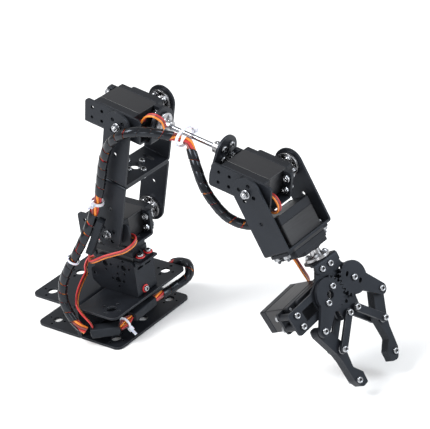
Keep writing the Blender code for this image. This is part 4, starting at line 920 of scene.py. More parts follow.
def make_servo_bracket(name, where, body):
    """Servo bracket: base plate below, bearing wall at -Y, two ear tabs at +Y."""
    half = SHEET / 2
    floor = BRACKET_FLOOR + half
    path = [(WALL_Y + half, BRACKET_TOP), (WALL_Y + half, floor), (TAB_Y - half, floor),
            (TAB_Y - half, BRACKET_TOP)]
    item = slab(name, strip(path), BRACKET_BACK, BRACKET_FRONT, "x")
    corners = [(BRACKET_BACK, BRACKET_FLOOR - 1, 0), (BRACKET_FRONT, BRACKET_FLOOR - 1, 0),
               (BRACKET_FRONT, BRACKET_TOP, 3.5), (BRACKET_BACK, BRACKET_TOP, 3.5)]
    keep_inside(item, "y", rounded_outline(corners), WALL_Y - 1, TAB_Y + 1)
    opening = [(-SERVO_LONG - 0.5, BRACKET_FLOOR + SHEET), (SERVO_SHORT + 0.5, BRACKET_FLOOR + SHEET),
               (SERVO_SHORT + 0.5, BRACKET_TOP + 1), (-SERVO_LONG - 0.5, BRACKET_TOP + 1)]
    wall = (WALL_Y - 1, WALL_Y + SHEET + 1)
    tab = (TAB_Y - SHEET - 1.2, TAB_Y + 1)
    base = (BRACKET_FLOOR - 1, BRACKET_FLOOR + SHEET + 1)
    holes = [("y", opening, *tab)]
    holes += bores("y", [(0, 0)], 4.3, *wall)
    holes += bores("y", ring_of_four(0, 0, DISC_SCREWS, 0.0), 1.3, *wall)
    holes += bores("y", [(a, b) for a in (-20.0, -30.0) for b in (-5.0, 4.0)], 1.5, *wall)
    holes += bores("y", ear_places(), CLEAR_HOLE, *tab)
    holes += bores("z", [(YAW_X - SHOULDER_X, 0)], 2.0, *base)
    holes += bores("z", bracket_floor_screws() + [(-32.0, -6.0), (12.0, -6.0)], CLEAR_HOLE, *base)
    drill(item, holes)
    sheet_piece(item, where, body, name)


def make_bearing(name, where, body):
    """Flanged bearing in a bracket's wall, with its shield and balls' race, about Y."""
    inner = -YOKE_HALF + SHEET
    outer = WALL_Y + SHEET
    profile = [(1.9, outer), (2.5, outer), (2.6, outer - 0.3), (3.4, outer - 0.3), (3.5, outer),
               (4.0, outer), (4.0, WALL_Y - GAP), (5.0, WALL_Y - GAP), (5.0, WALL_Y - 1.2),
               (3.2, WALL_Y - 1.4), (3.2, inner + GAP), (1.9, inner + GAP)]
    settle(lathe(name, profile, "y", 36), where, body, name)


def make_pivot(name, where, body):
    """Pivot bolt through a leg and its bearing, with a washer and a nut outside."""
    outside = -YOKE_HALF - GAP
    mesh = bmesh.new()
    add_shank(mesh, "y", 0, 0, WALL_Y + SHEET, outside - 4.4, -1)
    add_washer(mesh, "y", 0, 0, outside, outside - 0.8, 3.7)
    add_nut(mesh, "y", 0, 0, outside - 0.85, outside - 3.2, NUT_RADIUS, 12)
    steel_piece(name, mesh, where, body, name)


# ---------------------------------------------------------------- base

def make_channel(name, side):
    """One channel of the base; side is +1 for the flanges that run to +X."""
    half = SHEET / 2
    web = SEAM_X + side * (GAP / 2 + half)
    edge = side * BASE_HALF
    path = [(edge, half), (web, half), (web, BASE_HEIGHT - half), (edge, BASE_HEIGHT - half)]
    end = BASE_LENGTH / 2
    item = slab(name, strip(path), -end, end, "y")
    corners = [(-60 * side, -end, 0), (edge, -end, BASE_CORNER), (edge, end, BASE_CORNER),
               (-60 * side, end, 0)]
    keep_inside(item, "z", rounded_outline(corners), -1, BASE_HEIGHT + 1)
    holes = []
    top = (BASE_HEIGHT - SHEET - 1, BASE_HEIGHT + 1)
    bottom = (-1, SHEET + 1)
    for b in (-HOLE_Y, 0.0, HOLE_Y):
        group = [(side * HOLE_X, b)]
        ring = ring_of_four(side * HOLE_X, b, SMALL_RING, 0.0)
        holes += bores("z", group, BIG_HOLE, *bottom)
        if side < 0 or b != 0.0:
            holes += bores("z", group, BIG_HOLE, *top) + bores("z", ring, SMALL_HOLE, *top)
        if b != 0.0:
            holes += bores("z", ring, 1.1, *bottom)
    if side > 0:
        holes += bores("z", YAW_BOLTS, CLEAR_HOLE, *top)
    holes += bores("x", [(b, BASE_HEIGHT / 2) for b in WEB_BOLTS], CLEAR_HOLE, web - 2, web + 2)
    drill(item, holes)
    sheet_piece(item, HERE, "base", name)


def make_web_bolts():
    """The bolts that hold the two channels' webs together."""
    head = SEAM_X + GAP / 2 + SHEET
    nut = SEAM_X - GAP / 2 - SHEET - GAP
    mesh = bmesh.new()
    for b in WEB_BOLTS:
        add_nut_bolt(mesh, "x", b, BASE_HEIGHT / 2, head, nut)
    steel_piece("base_web_bolts", mesh, HERE, "base")


def make_yaw_bracket():
    """Upright servo's bracket: a box of folded sheet, bolted down inside, with ears on top."""
    half = SHEET / 2
    foot = BASE_HEIGHT + GAP + half
    left = YAW_X - SERVO_LONG - 0.5
    right = YAW_X + SERVO_SHORT + 0.6
    top = YAW_SERVO_FLOOR + EAR_LOW - GAP - half
    reach = EAR_REACH + 1.0
    path = [(left - reach, top), (left - half, top), (left - half, foot), (right + half, foot),
            (right + half, top), (right + half + reach, top)]
    item = slab("yaw_bracket", strip(path), -YAW_HALF + 0.4, YAW_HALF - 0.4, "y")
    holes = []
    for b in (-EAR_PITCH, EAR_PITCH):
        ends = [(YAW_X - SERVO_LONG - EAR_HOLE, b), (YAW_X + SERVO_SHORT + EAR_HOLE, b)]
        holes += bores("z", ends, CLEAR_HOLE, top - 2, top + 2)
        holes.append(("x", slot(b, top - 7.0, 1.2, 2.6, 0), right - 1, right + SHEET + 1))
    drill(item, holes)
    sheet_piece(item, HERE, "base", "yaw_bracket")
    plate_top = top - 0.5
    corners = [(left - 7, foot + 5, 3), (left + 2, foot - half, 1), (right + SHEET, foot - half, 1.5),
               (right + SHEET, plate_top - 3, 3), (right - 1, plate_top + 1, 1.5),
               (left + 3, plate_top + 1, 3), (left - 2, plate_top - 12, 2),
               (left - 7, plate_top - 16, 3)]
    loops = [hole(left - 3.2, 44.5, 1.7)]
    for a, b in ((11.0, 57.5), (31.5, 57.5), (23.5, 44.0)):
        loops.append(hole(a, b, 2.9))
        loops += [hole(*point, 1.2) for point in ring_of_four(a, b, 6.2, 0.0)]
    for side, word in ((-1, "front"), (1, "rear")):
        depth = sorted((side * -YAW_FRONT, side * (-YAW_FRONT - SHEET)))
        plate = slab(f"yaw_{word}_plate", rounded_outline(corners), *depth, "y", loops)
        sheet_piece(plate, HERE, "base", "yaw_bracket")
    mesh = bmesh.new()
    reds = bmesh.new()
    seat = foot + half
    under = BASE_HEIGHT - SHEET - GAP
    for a, b in YAW_BOLTS:
        add_nut_bolt(mesh, "z", a, b, seat + RED_WASHER, under)
        add_washer(reds, "z", a, b, seat + RED_WASHER, seat, 4.0)
    wall = right + SHEET
    add_bolt(mesh, "x", -3.0, 36.4, wall + RED_WASHER, wall - SHEET + 0.2)
    add_washer(reds, "x", -3.0, 36.4, wall + RED_WASHER, wall, 3.6)
    steel_piece("yaw_bracket_bolts", mesh, HERE, "base")
    red_piece("yaw_bracket_washers", reds, HERE, "base")


def make_base():
    make_channel("base_channel_back", -1)
    make_channel("base_channel_front", 1)
    make_web_bolts()
    make_yaw_bracket()
    where = spot(YAW_X, 0, YAW_SERVO_FLOOR, 90)
    make_servo("yaw_servo", where, "base")
    make_ear_screws("yaw_servo", "washers", where, "base")


# ---------------------------------------------------------------- turret and arm

def make_turret():
    screws = [(a - YAW_X + SHOULDER_X, -b) for a, b in bracket_floor_screws()]
    make_disc("yaw_horn", TURRET @ spot(0, 0, YAW_SERVO_FLOOR, 90), "turret", screws, True)
    make_servo_bracket("shoulder_bracket", SHOULDER_SEAT, "turret")
    make_servo("shoulder_servo", SHOULDER_SEAT @ ON_SERVO, "turret")
    make_ear_screws("shoulder_servo", "heads_up", SHOULDER_SEAT @ ON_SERVO, "turret")
    make_bearing("shoulder_bearing", SHOULDER_SEAT, "turret")


def make_upper_arm():
    make_yoke("lower_arm_bracket", SHOULDER, "upper_arm")
    upper = ARM_TOP @ spot(rx=180, rz=180)
    make_yoke("upper_arm_bracket", upper, "upper_arm")
    mesh = bmesh.new()
    nut = YOKE_REACH + GAP + SHEET + GAP
    for a, b in ring_of_four(0, 0, ARM_BOLTS, 0.0):
        add_nut_bolt(mesh, "z", a, b, YOKE_REACH - SHEET, nut)
    steel_piece("arm_bracket_bolts", mesh, upper, "upper_arm")
    ring = ring_of_four(0, 0, DISC_SCREWS)
    make_disc("shoulder_horn", SHOULDER @ ON_SERVO, "upper_arm", ring)
    make_disc("elbow_horn", ARM_TOP @ ON_SERVO, "upper_arm", ring)
    make_pivot("shoulder_pivot", SHOULDER, "upper_arm")
    make_pivot("elbow_pivot", ARM_TOP, "upper_arm")


def make_rod_plate(name, where, face, foot_end, foot_screw, lobe_z, flare):
    """Folded plate that carries a rod flange, with its foot under a servo bracket."""
    half = SHEET / 2
    foot = BRACKET_FLOOR - GAP - half
    middle = face + half
    path = [(middle, lobe_z + PLATE_LOBE), (middle, foot), (foot_end, foot)]
    item = slab(name, strip(path), -22.0, 14.0, "y")
    corners = arc(0, lobe_z, PLATE_LOBE, -10, 190 if flare < 14 else 170, 36)
    left = [(-flare, lobe_z - 12), (-flare, -40), (PLATE_LOBE, -40)]
    keep_inside(item, "x", corners + left, -80, 180)
    across = (face - 1, face + SHEET + 1)
    drill(item, bores("x", [(0, lobe_z)], 3.2, *across)
          + bores("x", ring_of_four(0, lobe_z, FLANGE_SCREWS), CLEAR_HOLE, *across))
    sheet_piece(item, where, "forearm", name)
    mesh = bmesh.new()
    add_bolt(mesh, "z", foot_screw, -6.0, foot - half, BRACKET_FLOOR + SHEET - 0.1)
    steel_piece(f"{name}_screw", mesh, where, "forearm")


def make_flange(name, where):
    """Rod flange with its foot at x = 0, its neck towards +X, and its four screws."""
    bore = ROD_RADIUS + GAP
    rim = FLANGE_RADIUS - 0.3
    profile = [(bore, 0), (rim, 0), (FLANGE_RADIUS, 0.3), (FLANGE_RADIUS, 1.9), (rim, 2.2),
               (5.6, 2.3), (4.9, 2.8), (4.8, 3.4), (4.8, 8.6), (4.4, 9.0), (bore, 9.0)]
    settle(lathe(name, profile, "x", 48), where, "forearm", name)
    mesh = bmesh.new()
    for a, b in ring_of_four(0, 0, FLANGE_SCREWS):
        add_bolt(mesh, "x", a, b, -GAP - SHEET - GAP, 3.4)
    add_turned(mesh, [(0, 2.5), (1.2, 2.5), (1.2, 5.2), (1.0, 5.4), (0.6, 5.4, HEX), (0.6, 4.8, HEX),
                      (0, 4.8)], "z", 6.2, 0)
    steel_piece(f"{name}_screws", mesh, where, "forearm")


def make_forearm():
    for word, seat in (("elbow", ELBOW), ("wrist", WRIST_SEAT)):
        make_servo_bracket(f"{word}_bracket", seat, "forearm")
        make_servo(f"{word}_servo", seat @ ON_SERVO, "forearm")
        make_ear_screws(f"{word}_servo", "heads_up", seat @ ON_SERVO, "forearm")
        make_bearing(f"{word}_bearing", seat, "forearm")
    make_rod_plate("rod_plate_near", ELBOW, NEAR_PLATE_X, -6.0, 12.0, 0.0, PLATE_LOBE)
    make_rod_plate("rod_plate_far", WRIST_SEAT, FAR_PLATE_X - FOREARM_LENGTH, -12.0, -32.0,
                   -WRIST_OFFSET, 19.0)
    near_face = NEAR_PLATE_X + SHEET + GAP
    far_face = FAR_PLATE_X - GAP
    make_flange("rod_flange_near", ELBOW @ spot(near_face))
    make_flange("rod_flange_far", ELBOW @ spot(far_face, rz=180))
    start = near_face + 0.4
    end = far_face - 0.4
    profile = [(0, start), (ROD_RADIUS - 0.3, start), (ROD_RADIUS, start + 0.3),
               (ROD_RADIUS, end - 0.3), (ROD_RADIUS - 0.3, end), (0, end)]
    rod = lathe("forearm_rod", profile, "x", 32, ROD)
    settle(rod, ELBOW, "forearm", "forearm_rod")


def make_hand():
    make_yoke("wrist_yoke", WRIST, "hand", True)
    make_disc("wrist_horn", WRIST @ ON_SERVO, "hand", ring_of_four(0, 0, DISC_SCREWS))
    make_pivot("wrist_pivot", WRIST, "hand")
    where = WRIST @ spot(0, ROLL_OFFSET, YOKE_REACH + GAP - EAR_LOW, 90, 0, 90)
    make_servo("roll_servo", where, "hand")
    make_ear_screws("roll_servo", "tips_up", where, "hand")


# ---------------------------------------------------------------- claw

def involute_tooth(teeth, radius, backlash):
    """Half of one tooth about the first axis, from root to tip."""
    module = 2 * radius / teeth
    pressure = math.radians(20)
    base = radius * math.cos(pressure)
    tip = radius + 0.9 * module
    root = radius - 1.25 * module
    half = math.pi / (2 * teeth) - backlash / (2 * radius)
    involute = math.tan(pressure) - pressure
    points = [(root, half + involute + 0.035)]
    for step in range(6):
        here = base + 0.02 + (tip - base - 0.02) * step / 5
        spread = math.acos(base / here)
        points.append((here, half + involute - (math.tan(spread) - spread)))
    return points


def gear_outline(centre_y, side):
    """Gear with its toothed sector towards the other gear; side is -1 left, +1 right."""
    pitch = 360 / GEAR_TEETH
    half = involute_tooth(GEAR_TEETH, GEAR_Y, 0.35)
    facing = 0.0 if side < 0 else 180.0
    shift = 0.0 if side < 0 else pitch / 2
    points = []
    for tooth in range(-4, 5 if side < 0 else 4):
        middle = math.radians(facing + shift + tooth * pitch)
        for radius, angle in half:
            points.append((radius, middle - angle))
        for radius, angle in reversed(half):
            points.append((radius, middle + angle))
    start = points[-1][1]
    end = points[0][1] + 2 * math.pi
    for step in range(1, 44):
        points.append((GEAR_Y - 0.7, start + (end - start) * step / 44))
    return [(centre_y + radius * math.cos(angle), GEAR_Z + radius * math.sin(angle))
            for radius, angle in points]


def bar(a0, b0, a1, b1, radius, steps=14):
    """Outline of a straight bar with round ends."""
    turn = math.degrees(math.atan2(b1 - b0, a1 - a0))
    far = arc(a1, b1, radius, turn - 90, turn + 90, steps)
    return far + arc(a0, b0, radius, turn + 90, turn + 270, steps)


def make_gear(word, side):
    """Gear with its crank, about its own centre, and the pins it carries."""
    body = f"gear_{word}_body"
    y = side * GEAR_Y
    pivot = (y + side * CRANK_Y, GEAR_Z + CRANK_Z)
    direction = Vector((side * CRANK_Y, CRANK_Z)).normalized()
    sideways = Vector((-direction.y, direction.x))
    start = Vector((y, GEAR_Z)) + direction * 9.5
    turn = math.degrees(math.atan2(direction.y, direction.x))
    item = slab(f"gear_{word}", gear_outline(y, side), -GEAR_FRONT, -GEAR_BACK, "x")
    tip = arc(*pivot, 4.9, turn - 90, turn + 90, 18)
    crank = [tuple(start - sideways * 7.4)] + tip + [tuple(start + sideways * 7.4)]
    combine(item, slab("crank", crank, -GEAR_FRONT, -GEAR_BACK, "x"), "UNION")
    depth = (-GEAR_FRONT - 1, -GEAR_BACK + 1)
    loops = bores("x", [pivot], TIGHT_HOLE, *depth)
    hardware = bmesh.new()
    if side < 0:
        screws = circle(y, GEAR_Z, DISC_SCREWS, 2, GEAR_SCREW_TURN)
        loops += bores("x", [(y, GEAR_Z)], 3.4, *depth) + bores("x", screws, TIGHT_HOLE, *depth)
        for a, b in screws:
            add_bolt(hardware, "x", a, b, -GEAR_FRONT, -GEAR_BACK - 0.2)
    else:
        loops += bores("x", [(y, GEAR_Z)], PIVOT_HOLE, *depth)
        for a, b in circle(y, GEAR_Z, DISC_SCREWS, 2, 49):
            loops.append(("x", slot(a, b, 1.3, 1.0, 139), *depth))
    drill(item, loops)
    sheet_piece(item, CLAW, body, f"gear_{word}")
    add_nut_bolt(hardware, "x", *pivot, -GEAR_FRONT, -FINGER_BACK + GAP,
                 (-GEAR_BACK, -FINGER_FRONT - GAP, 3.6))
    steel_piece(f"gear_{word}_pins", hardware, CLAW, body)


def finger_outline(side):
    """Finger in the claw's frame: crank pivot, link pivot, shank and hooked tip."""
    crank = (GEAR_Y + CRANK_Y, GEAR_Z + CRANK_Z)
    link = (LINK_Y + CRANK_Y, LINK_Z + CRANK_Z)
    corners = [
        (crank[0] + 1.5, crank[1] - 5.2, 4.2), (crank[0] + 5.2, crank[1] + 0.8, 4.0),
        (link[0] + 5.6, link[1] + 1.0, 7.0), (link[0] + 3.6, link[1] + 9.0, 9.0),
        (27.0, 169.5, 5.0), (22.5, 177.8, 4.0), (15.4, 176.5, 1.0),
        (15.4, 167.5, 1.2), (22.2, 159.5, 3.0),
        (link[0] - 3.8, link[1] + 7.0, 5.0), (link[0] - 4.8, link[1] - 3.0, 4.2),
        (crank[0] - 5.0, crank[1] - 1.8, 3.6)]
    return [(side * a, b) for a, b in rounded_outline(corners)]


def make_finger(word, side):
    body = f"finger_{word}_body"
    crank = (side * (GEAR_Y + CRANK_Y), GEAR_Z + CRANK_Z)
    link = (side * (LINK_Y + CRANK_Y), LINK_Z + CRANK_Z)
    tip = (side * 22.6, 171.0)
    holes = [hole(*crank, PIVOT_HOLE), hole(*link, PIVOT_HOLE), hole(*tip, TIGHT_HOLE)]
    outline = finger_outline(side)
    layers = ((-FINGER_FRONT, -4.1), (-3.95, -2.05), (-1.9, -FINGER_BACK))
    for index, depth in enumerate(layers):
        item = slab(f"finger_{word}_layer_{index + 1}", outline, *depth, "x", holes)
        sheet_piece(item, CLAW, body, f"finger_{word}")
    mesh = bmesh.new()
    back = -FINGER_BACK
    add_bolt(mesh, "x", *tip, -FINGER_FRONT, back + NUT_HEIGHT + 0.3,
             (back, back + NUT_HEIGHT, NUT_RADIUS))
    steel_piece(f"finger_{word}_screw", mesh, CLAW, body)


def make_link(word, side):
    """Front and back bars of one side's parallel link, with the two pins that join them."""
    body = f"link_{word}_body"
    fixed = (side * LINK_Y, LINK_Z)
    far = (side * (LINK_Y + CRANK_Y), LINK_Z + CRANK_Z)
    holes = [hole(*fixed, TIGHT_HOLE), hole(*far, TIGHT_HOLE)]
    for index, depth in enumerate(((-LINK_FRONT, -LINK_BACK), REAR_LINK)):
        item = slab(f"link_{word}_bar_{index + 1}", bar(*fixed, *far, 3.2), *depth, "x", holes)
        sheet_piece(item, CLAW, body, f"link_{word}")
    mesh = bmesh.new()
    add_nut_bolt(mesh, "x", *fixed, -LINK_FRONT, REAR_LINK[1],
                 (-PLATE_BACK + GAP, -REAR_FRONT - GAP, 3.2))
    add_nut_bolt(mesh, "x", *far, -LINK_FRONT, REAR_LINK[1],
                 (-LINK_BACK, -FINGER_FRONT - GAP, 3.6))
    steel_piece(f"link_{word}_pins", mesh, CLAW, body)


def claw_servo_point(along, across):
    """A point in the claw's plane, from the left gear along and across its servo."""
    tilt = math.radians(CLAW_SERVO_TILT)
    return (-GEAR_Y - along * math.cos(tilt) + across * math.sin(tilt),
            GEAR_Z + along * math.sin(tilt) + across * math.cos(tilt))


def make_claw_plates():
    corners = [
        (-14.0, 79.4, 1.5), (11.0, 79.4, 1.5), (13.0, 86.0, 3), (24.0, 93.5, 5), (24.0, 107.0, 5),
        (11.0, 113.5, 3), (10.0, 126.4, 4), (-10.0, 126.4, 4), (-10.5, 117.0, 2),
        (*claw_servo_point(1.0, 14.2), 3), (*claw_servo_point(13.0, 9.75), 3),
        (*claw_servo_point(42.0, 9.75), 2.5), (*claw_servo_point(42.0, -9.75), 2.5),
        (*claw_servo_point(13.0, -9.75), 3), (-19.0, 87.0, 2)]
    pivots = [hole(GEAR_Y, GEAR_Z, PIVOT_HOLE)]
    pivots += [hole(side * LINK_Y, LINK_Z, PIVOT_HOLE) for side in (-1, 1)]
    holes = [circle(-GEAR_Y, GEAR_Z, DISC_RADIUS + 0.7, 48)] + pivots
    for along, across in claw_ear_places():
        holes.append(hole(*claw_servo_point(along, across), CLEAR_HOLE))
    holes.append([claw_servo_point(along, across) for along, across in
                  ((14.5, -4.5), (29.0, -4.5), (29.0, 4.5), (14.5, 4.5))])
    holes += [hole(a, MOUNT_SCREW_Z, TIGHT_HOLE) for a in MOUNT_SCREWS]
    holes += [hole(-4.5, 89.5, TIGHT_HOLE), hole(9.0, 89.5, TIGHT_HOLE), hole(0.0, 113.6, TIGHT_HOLE)]
    front = slab("claw_front_plate", rounded_outline(corners), -PLATE_FRONT, -PLATE_BACK, "x", holes)
    sheet_piece(front, CLAW, "claw_base", "claw_front_plate")
    corners = [
        (5.6, 92.5, 2), (19.0, 92.5, 4), (24.0, 98.0, 4), (24.0, 106.0, 4), (11.0, 114.0, 3),
        (10.0, 126.4, 4), (-10.0, 126.4, 4), (-10.0, 113.2, 2), (5.6, 111.0, 2)]
    back = slab("claw_back_plate", rounded_outline(corners), -REAR_FRONT, -REAR_BACK, "x", pivots)
    sheet_piece(back, CLAW, "claw_base", "claw_back_plate")


def make_claw_mount():
    """Folded mount: a round flange under the roll disc and a face with two screws."""
    top = YOKE_REACH + GAP - EAR_LOW + DISC_TOP + GAP
    half = SHEET / 2
    face = -PLATE_FRONT - GAP - half
    path = [(11.5, top + half), (face, top + half), (face, MOUNT_TOP)]
    item = slab("claw_mount", strip(path), -16.0, 12.0, "y")
    corners = [(-16, 60, 0), (12, 60, 0), (12, 81, 2), (8, MOUNT_TOP, 3), (-12, MOUNT_TOP, 3),
               (-16, 81, 2)]
    keep_inside(item, "x", rounded_outline(corners), -20, 20)
    flange = rounded_outline([(-20, -15.0, 0), (-6.0, -15.0, 0), (0.0, -11.2, 2), (11.6, -8.0, 6),
                              (11.6, 8.0, 6), (1.0, 11.0, 2), (-20, 11.5, 0)])
    keep_inside(item, "z", flange, 60, 100)
    across = (top - 1, top + SHEET + 1)
    drill(item, bores("z", [(0, 0)], 3.0, *across)
          + bores("z", ring_of_four(0, 0, DISC_SCREWS), CLEAR_HOLE, *across))
    sheet_piece(item, CLAW, "claw_base", "claw_mount")
    mesh = bmesh.new()
    for a in MOUNT_SCREWS:
        add_nut_bolt(mesh, "x", a, MOUNT_SCREW_Z, face - half, -PLATE_BACK + GAP)
    steel_piece("claw_mount_screws", mesh, CLAW, "claw_base")


def claw_ear_places():
    """The claw servo's four screw places, along and across it."""
    return [(along, across) for across in (-EAR_PITCH, EAR_PITCH)
            for along in (SERVO_LONG + EAR_HOLE, -SERVO_SHORT - EAR_HOLE)]


def claw_servo_frame(x):
    """Where a servo or its disc stands behind the left gear, its shaft to the front."""
    tilt = math.radians(CLAW_SERVO_TILT)
    long_way = Vector((0, math.cos(tilt), -math.sin(tilt)))
    shaft = Vector((-1, 0, 0))
    turn = Matrix((long_way, shaft, long_way.cross(shaft))).transposed().to_4x4()
    return CLAW @ Matrix.Translation(Vector((x, -GEAR_Y, GEAR_Z)) * MM) @ turn


def make_claw():
    roll = CLAW @ spot(0, 0, YOKE_REACH + GAP - EAR_LOW, 90)
    make_disc("roll_horn", roll, "claw_base", ring_of_four(0, 0, DISC_SCREWS))
    make_claw_mount()
    make_claw_plates()
    floor = GEAR_BACK - GAP - DISC_TOP
    servo = claw_servo_frame(-floor)
    make_servo("claw_servo", servo, "claw_base")
    make_disc("claw_horn", servo, "gear_left_body")
    front_face = -PLATE_BACK + GAP
    ear_face = -floor - EAR_HIGH - GAP
    back = -floor - EAR_LOW + GAP
    for index, (along, across) in enumerate(claw_ear_places()):
        a, b = claw_servo_point(along, across)
        name = f"claw_standoff_{index + 1}"
        mesh = bmesh.new()
        if along > 0:
            add_nut_bolt(mesh, "x", a, b, -PLATE_FRONT - GAP, back)
        else:
            add_bolt(mesh, "x", a, b, back, -PLATE_FRONT + 0.1)
        steel_piece(name, mesh, CLAW, "claw_base", name)
        mesh = bmesh.new()
        add_washer(mesh, "x", a, b, front_face, ear_face, 2.8)
        settle(finish(f"{name}_spacer", mesh, CASE), CLAW, "claw_base", name)
    mesh = bmesh.new()
    add_nut_bolt(mesh, "x", GEAR_Y, GEAR_Z, -GEAR_FRONT - GAP, -REAR_BACK + GAP,
                 (front_face, -REAR_FRONT - GAP, 3.4))
    steel_piece("gear_right_pivot", mesh, CLAW, "claw_base", "gear_right_pivot")
    for side, word in ((-1, "left"), (1, "right")):
        make_gear(word, side)
        make_finger(word, side)
        make_link(word, side)


# ---------------------------------------------------------------- cords

LOOM_BASE = [(41.5, 8.0, 18.8), (41.6, 14.0, 18.2), (42.3, 25.0, 17.4), (44.0, 35.0, 18.2),
             (47.8, 43.0, 20.8), (50.4, 47.5, 24.4), (49.4, 50.6, 28.8), (44.8, 53.8, 31.2),
             (37.5, 54.2, 31.0), (29.0, 54.4, 28.0), (21.0, 54.8, 22.0)]
LOOM_LOWER = [(17.2, -54.2, 14.6), (11.4, -56.6, 19.6), (3.6, -57.2, 30.0), (-0.4, -57.0, 43.0),
              (1.0, -56.0, 56.2), (7.2, -54.8, 70.0), (15.8, -52.0, 84.0), (22.8, -49.2, 96.0),
              (28.2, -45.6, 107.5), (32.8, -41.2, 119.5), (37.5, -37.0, 133.5)]
LOOM_UPPER = [(38.0, -36.8, 134.6), (42.0, -36.2, 146.0), (46.0, -36.0, 159.0), (50.5, -36.0, 172.5),
              (57.5, -36.2, 186.0), (69.0, -36.5, 197.5), (82.0, -35.0, 203.5), (93.5, -26.5, 202.5),
              (101.0, -18.5, 198.5), (106.0, -12.8, 195.4), (112.0, -9.4, 193.6)]
LOOM_WRIST = [(114.8, -8.3, 192.1), (118.7, -7.9, 189.6), (123.0, -11.0, 183.5), (128.7, -15.0, 175.5),
              (137.5, -20.0, 162.9), (146.4, -22.0, 152.7), (156.8, -21.0, 141.4), (166.0, -17.0, 134.8),
              (175.0, -12.0, 132.5), (184.0, -7.0, 136.0)]
LEAD_YAW = [(-7.9, -5.0, 56.0), (-12.5, -8.0, 53.5), (-12.4, -13.5, 48.8), (-8.6, -18.0, 45.6),
            (-5.6, -25.5, 44.0), (-2.2, -35.0, 41.0), (2.9, -44.5, 38.2), (8.2, -51.0, 34.4),
            (12.6, -52.2, 29.8), (17.4, -52.0, 25.4), (20.8, -51.4, 21.6), (22.0, -50.6, 17.8)]
LEAD_SHOULDER = [(47.0, -15.0, 94.0), (51.2, -15.2, 94.6), (56.2, -18.0, 94.2),
                 (57.6, -24.0, 92.2), (53.5, -31.0, 88.8), (46.0, -36.2, 86.6),
                 (38.5, -40.2, 84.2), (31.0, -43.6, 80.6), (26.6, -44.8, 79.2),
                 (24.9, -44.2, 81.4), (25.2, -43.3, 85.9)]
LEAD_ELBOW = [(75.4, -15.0, 203.0), (80.0, -16.0, 204.5), (84.5, -18.0, 209.0), (90.0, -19.5, 213.0),
              (97.0, -19.5, 214.0), (102.6, -17.8, 210.0), (103.2, -16.4, 203.8)]
LEAD_WRIST = [(197.3, -14.5, 165.4), (201.6, -14.5, 163.9), (205.2, -14.5, 158.4), (204.3, -14.5, 152.6),
              (199.6, -14.5, 150.6), (190.8, -14.5, 152.0), (181.0, -14.5, 153.6)]
LEAD_CLAW = [(185.6, -6.2, 136.4), (188.6, -3.2, 133.0), (189.0, -1.0, 126.6),
             (193.0, -1.0, 118.0), (198.6, -0.6, 110.2), (203.8, 0.4, 103.4), (206.2, 3.0, 95.6),
             (206.6, 7.2, 87.6), (206.0, 12.0, 79.6), (204.2, 14.8, 72.2), (201.0, 15.0, 66.8),
             (198.5, 11.6, 65.2)]


def smooth_route(points, spacing):
    """Evenly spaced points on a smooth curve through a route's own points."""
    points = [Vector(point) for point in points]
    points = [2 * points[0] - points[1]] + points + [2 * points[-1] - points[-2]]
    fine = []
    for index in range(1, len(points) - 2):
        p0, p1, p2, p3 = points[index - 1:index + 3]
        for step in range(24):
            t = step / 24
            fine.append(0.5 * (2 * p1 + (p2 - p0) * t + (2 * p0 - 5 * p1 + 4 * p2 - p3) * t * t
                               + (3 * p1 - p0 - 3 * p2 + p3) * t * t * t))
    fine.append(points[-2])
    total = sum((fine[i + 1] - fine[i]).length for i in range(len(fine) - 1))
    count = max(3, round(total / spacing))
    picked = [fine[0]]
    walked = 0.0
    for index in range(len(fine) - 1):
        length = (fine[index + 1] - fine[index]).length
        while len(picked) < count and walked + length >= total * len(picked) / count:
            part = (total * len(picked) / count - walked) / length
            picked.append(fine[index].lerp(fine[index + 1], part))
        walked += length
    picked.append(fine[-1])
    return picked


class Route:
    """A smooth line with a frame at every point, carried along without twist."""

    def __init__(self, points, hint=(0.0, 0.0, 1.0), spacing=1.0):
        self.points = smooth_route(points, spacing)
        self.length = sum((b - a).length for a, b in zip(self.points, self.points[1:]))
        self.step = self.length / (len(self.points) - 1)
        self.sides = []
        self.ups = []
        up = Vector(hint)
        for index in range(len(self.points)):
            after = self.points[min(index + 1, len(self.points) - 1)]
            before = self.points[max(index - 1, 0)]
            along = (after - before).normalized()
            up = (up - along * up.dot(along)).normalized()
            self.ups.append(up.copy())
            self.sides.append(along.cross(up))

    def at(self, distance, angle, radius):
        """A point round the line, at a distance along it."""
        place = min(max(distance / self.step, 0.0), len(self.points) - 1.001)
        index = int(place)
        part = place - index
        centre = self.points[index].lerp(self.points[index + 1], part)
        side = self.sides[index].lerp(self.sides[index + 1], part)
        up = self.ups[index].lerp(self.ups[index + 1], part)
        return centre + side * radius * math.cos(angle) + up * radius * math.sin(angle)


def add_tube(mesh, points, route_frames, radius, sides, slot_index):
    """A round tube through points; its two ends are closed."""
    rings = []
    for point, (side, up) in zip(points, route_frames):
        ring = []
        for step in range(sides):
            angle = 2 * math.pi * step / sides
            offset = side * radius * math.cos(angle) + up * radius * math.sin(angle)
            ring.append(mesh.verts.new((point + offset) * MM))
        rings.append(ring)
    for one, two in zip(rings, rings[1:]):
        skin(mesh, one, two, slot_index, True)
    for ring in (rings[0], rings[-1]):
        mesh.faces.new(ring).material_index = slot_index


def axes_of(along):
    """A direction of length one, and the level and upright directions across it."""
    along = Vector(along).normalized()
    side = along.cross(Vector((0, 0, 1))).normalized()
    return along, side, side.cross(along)


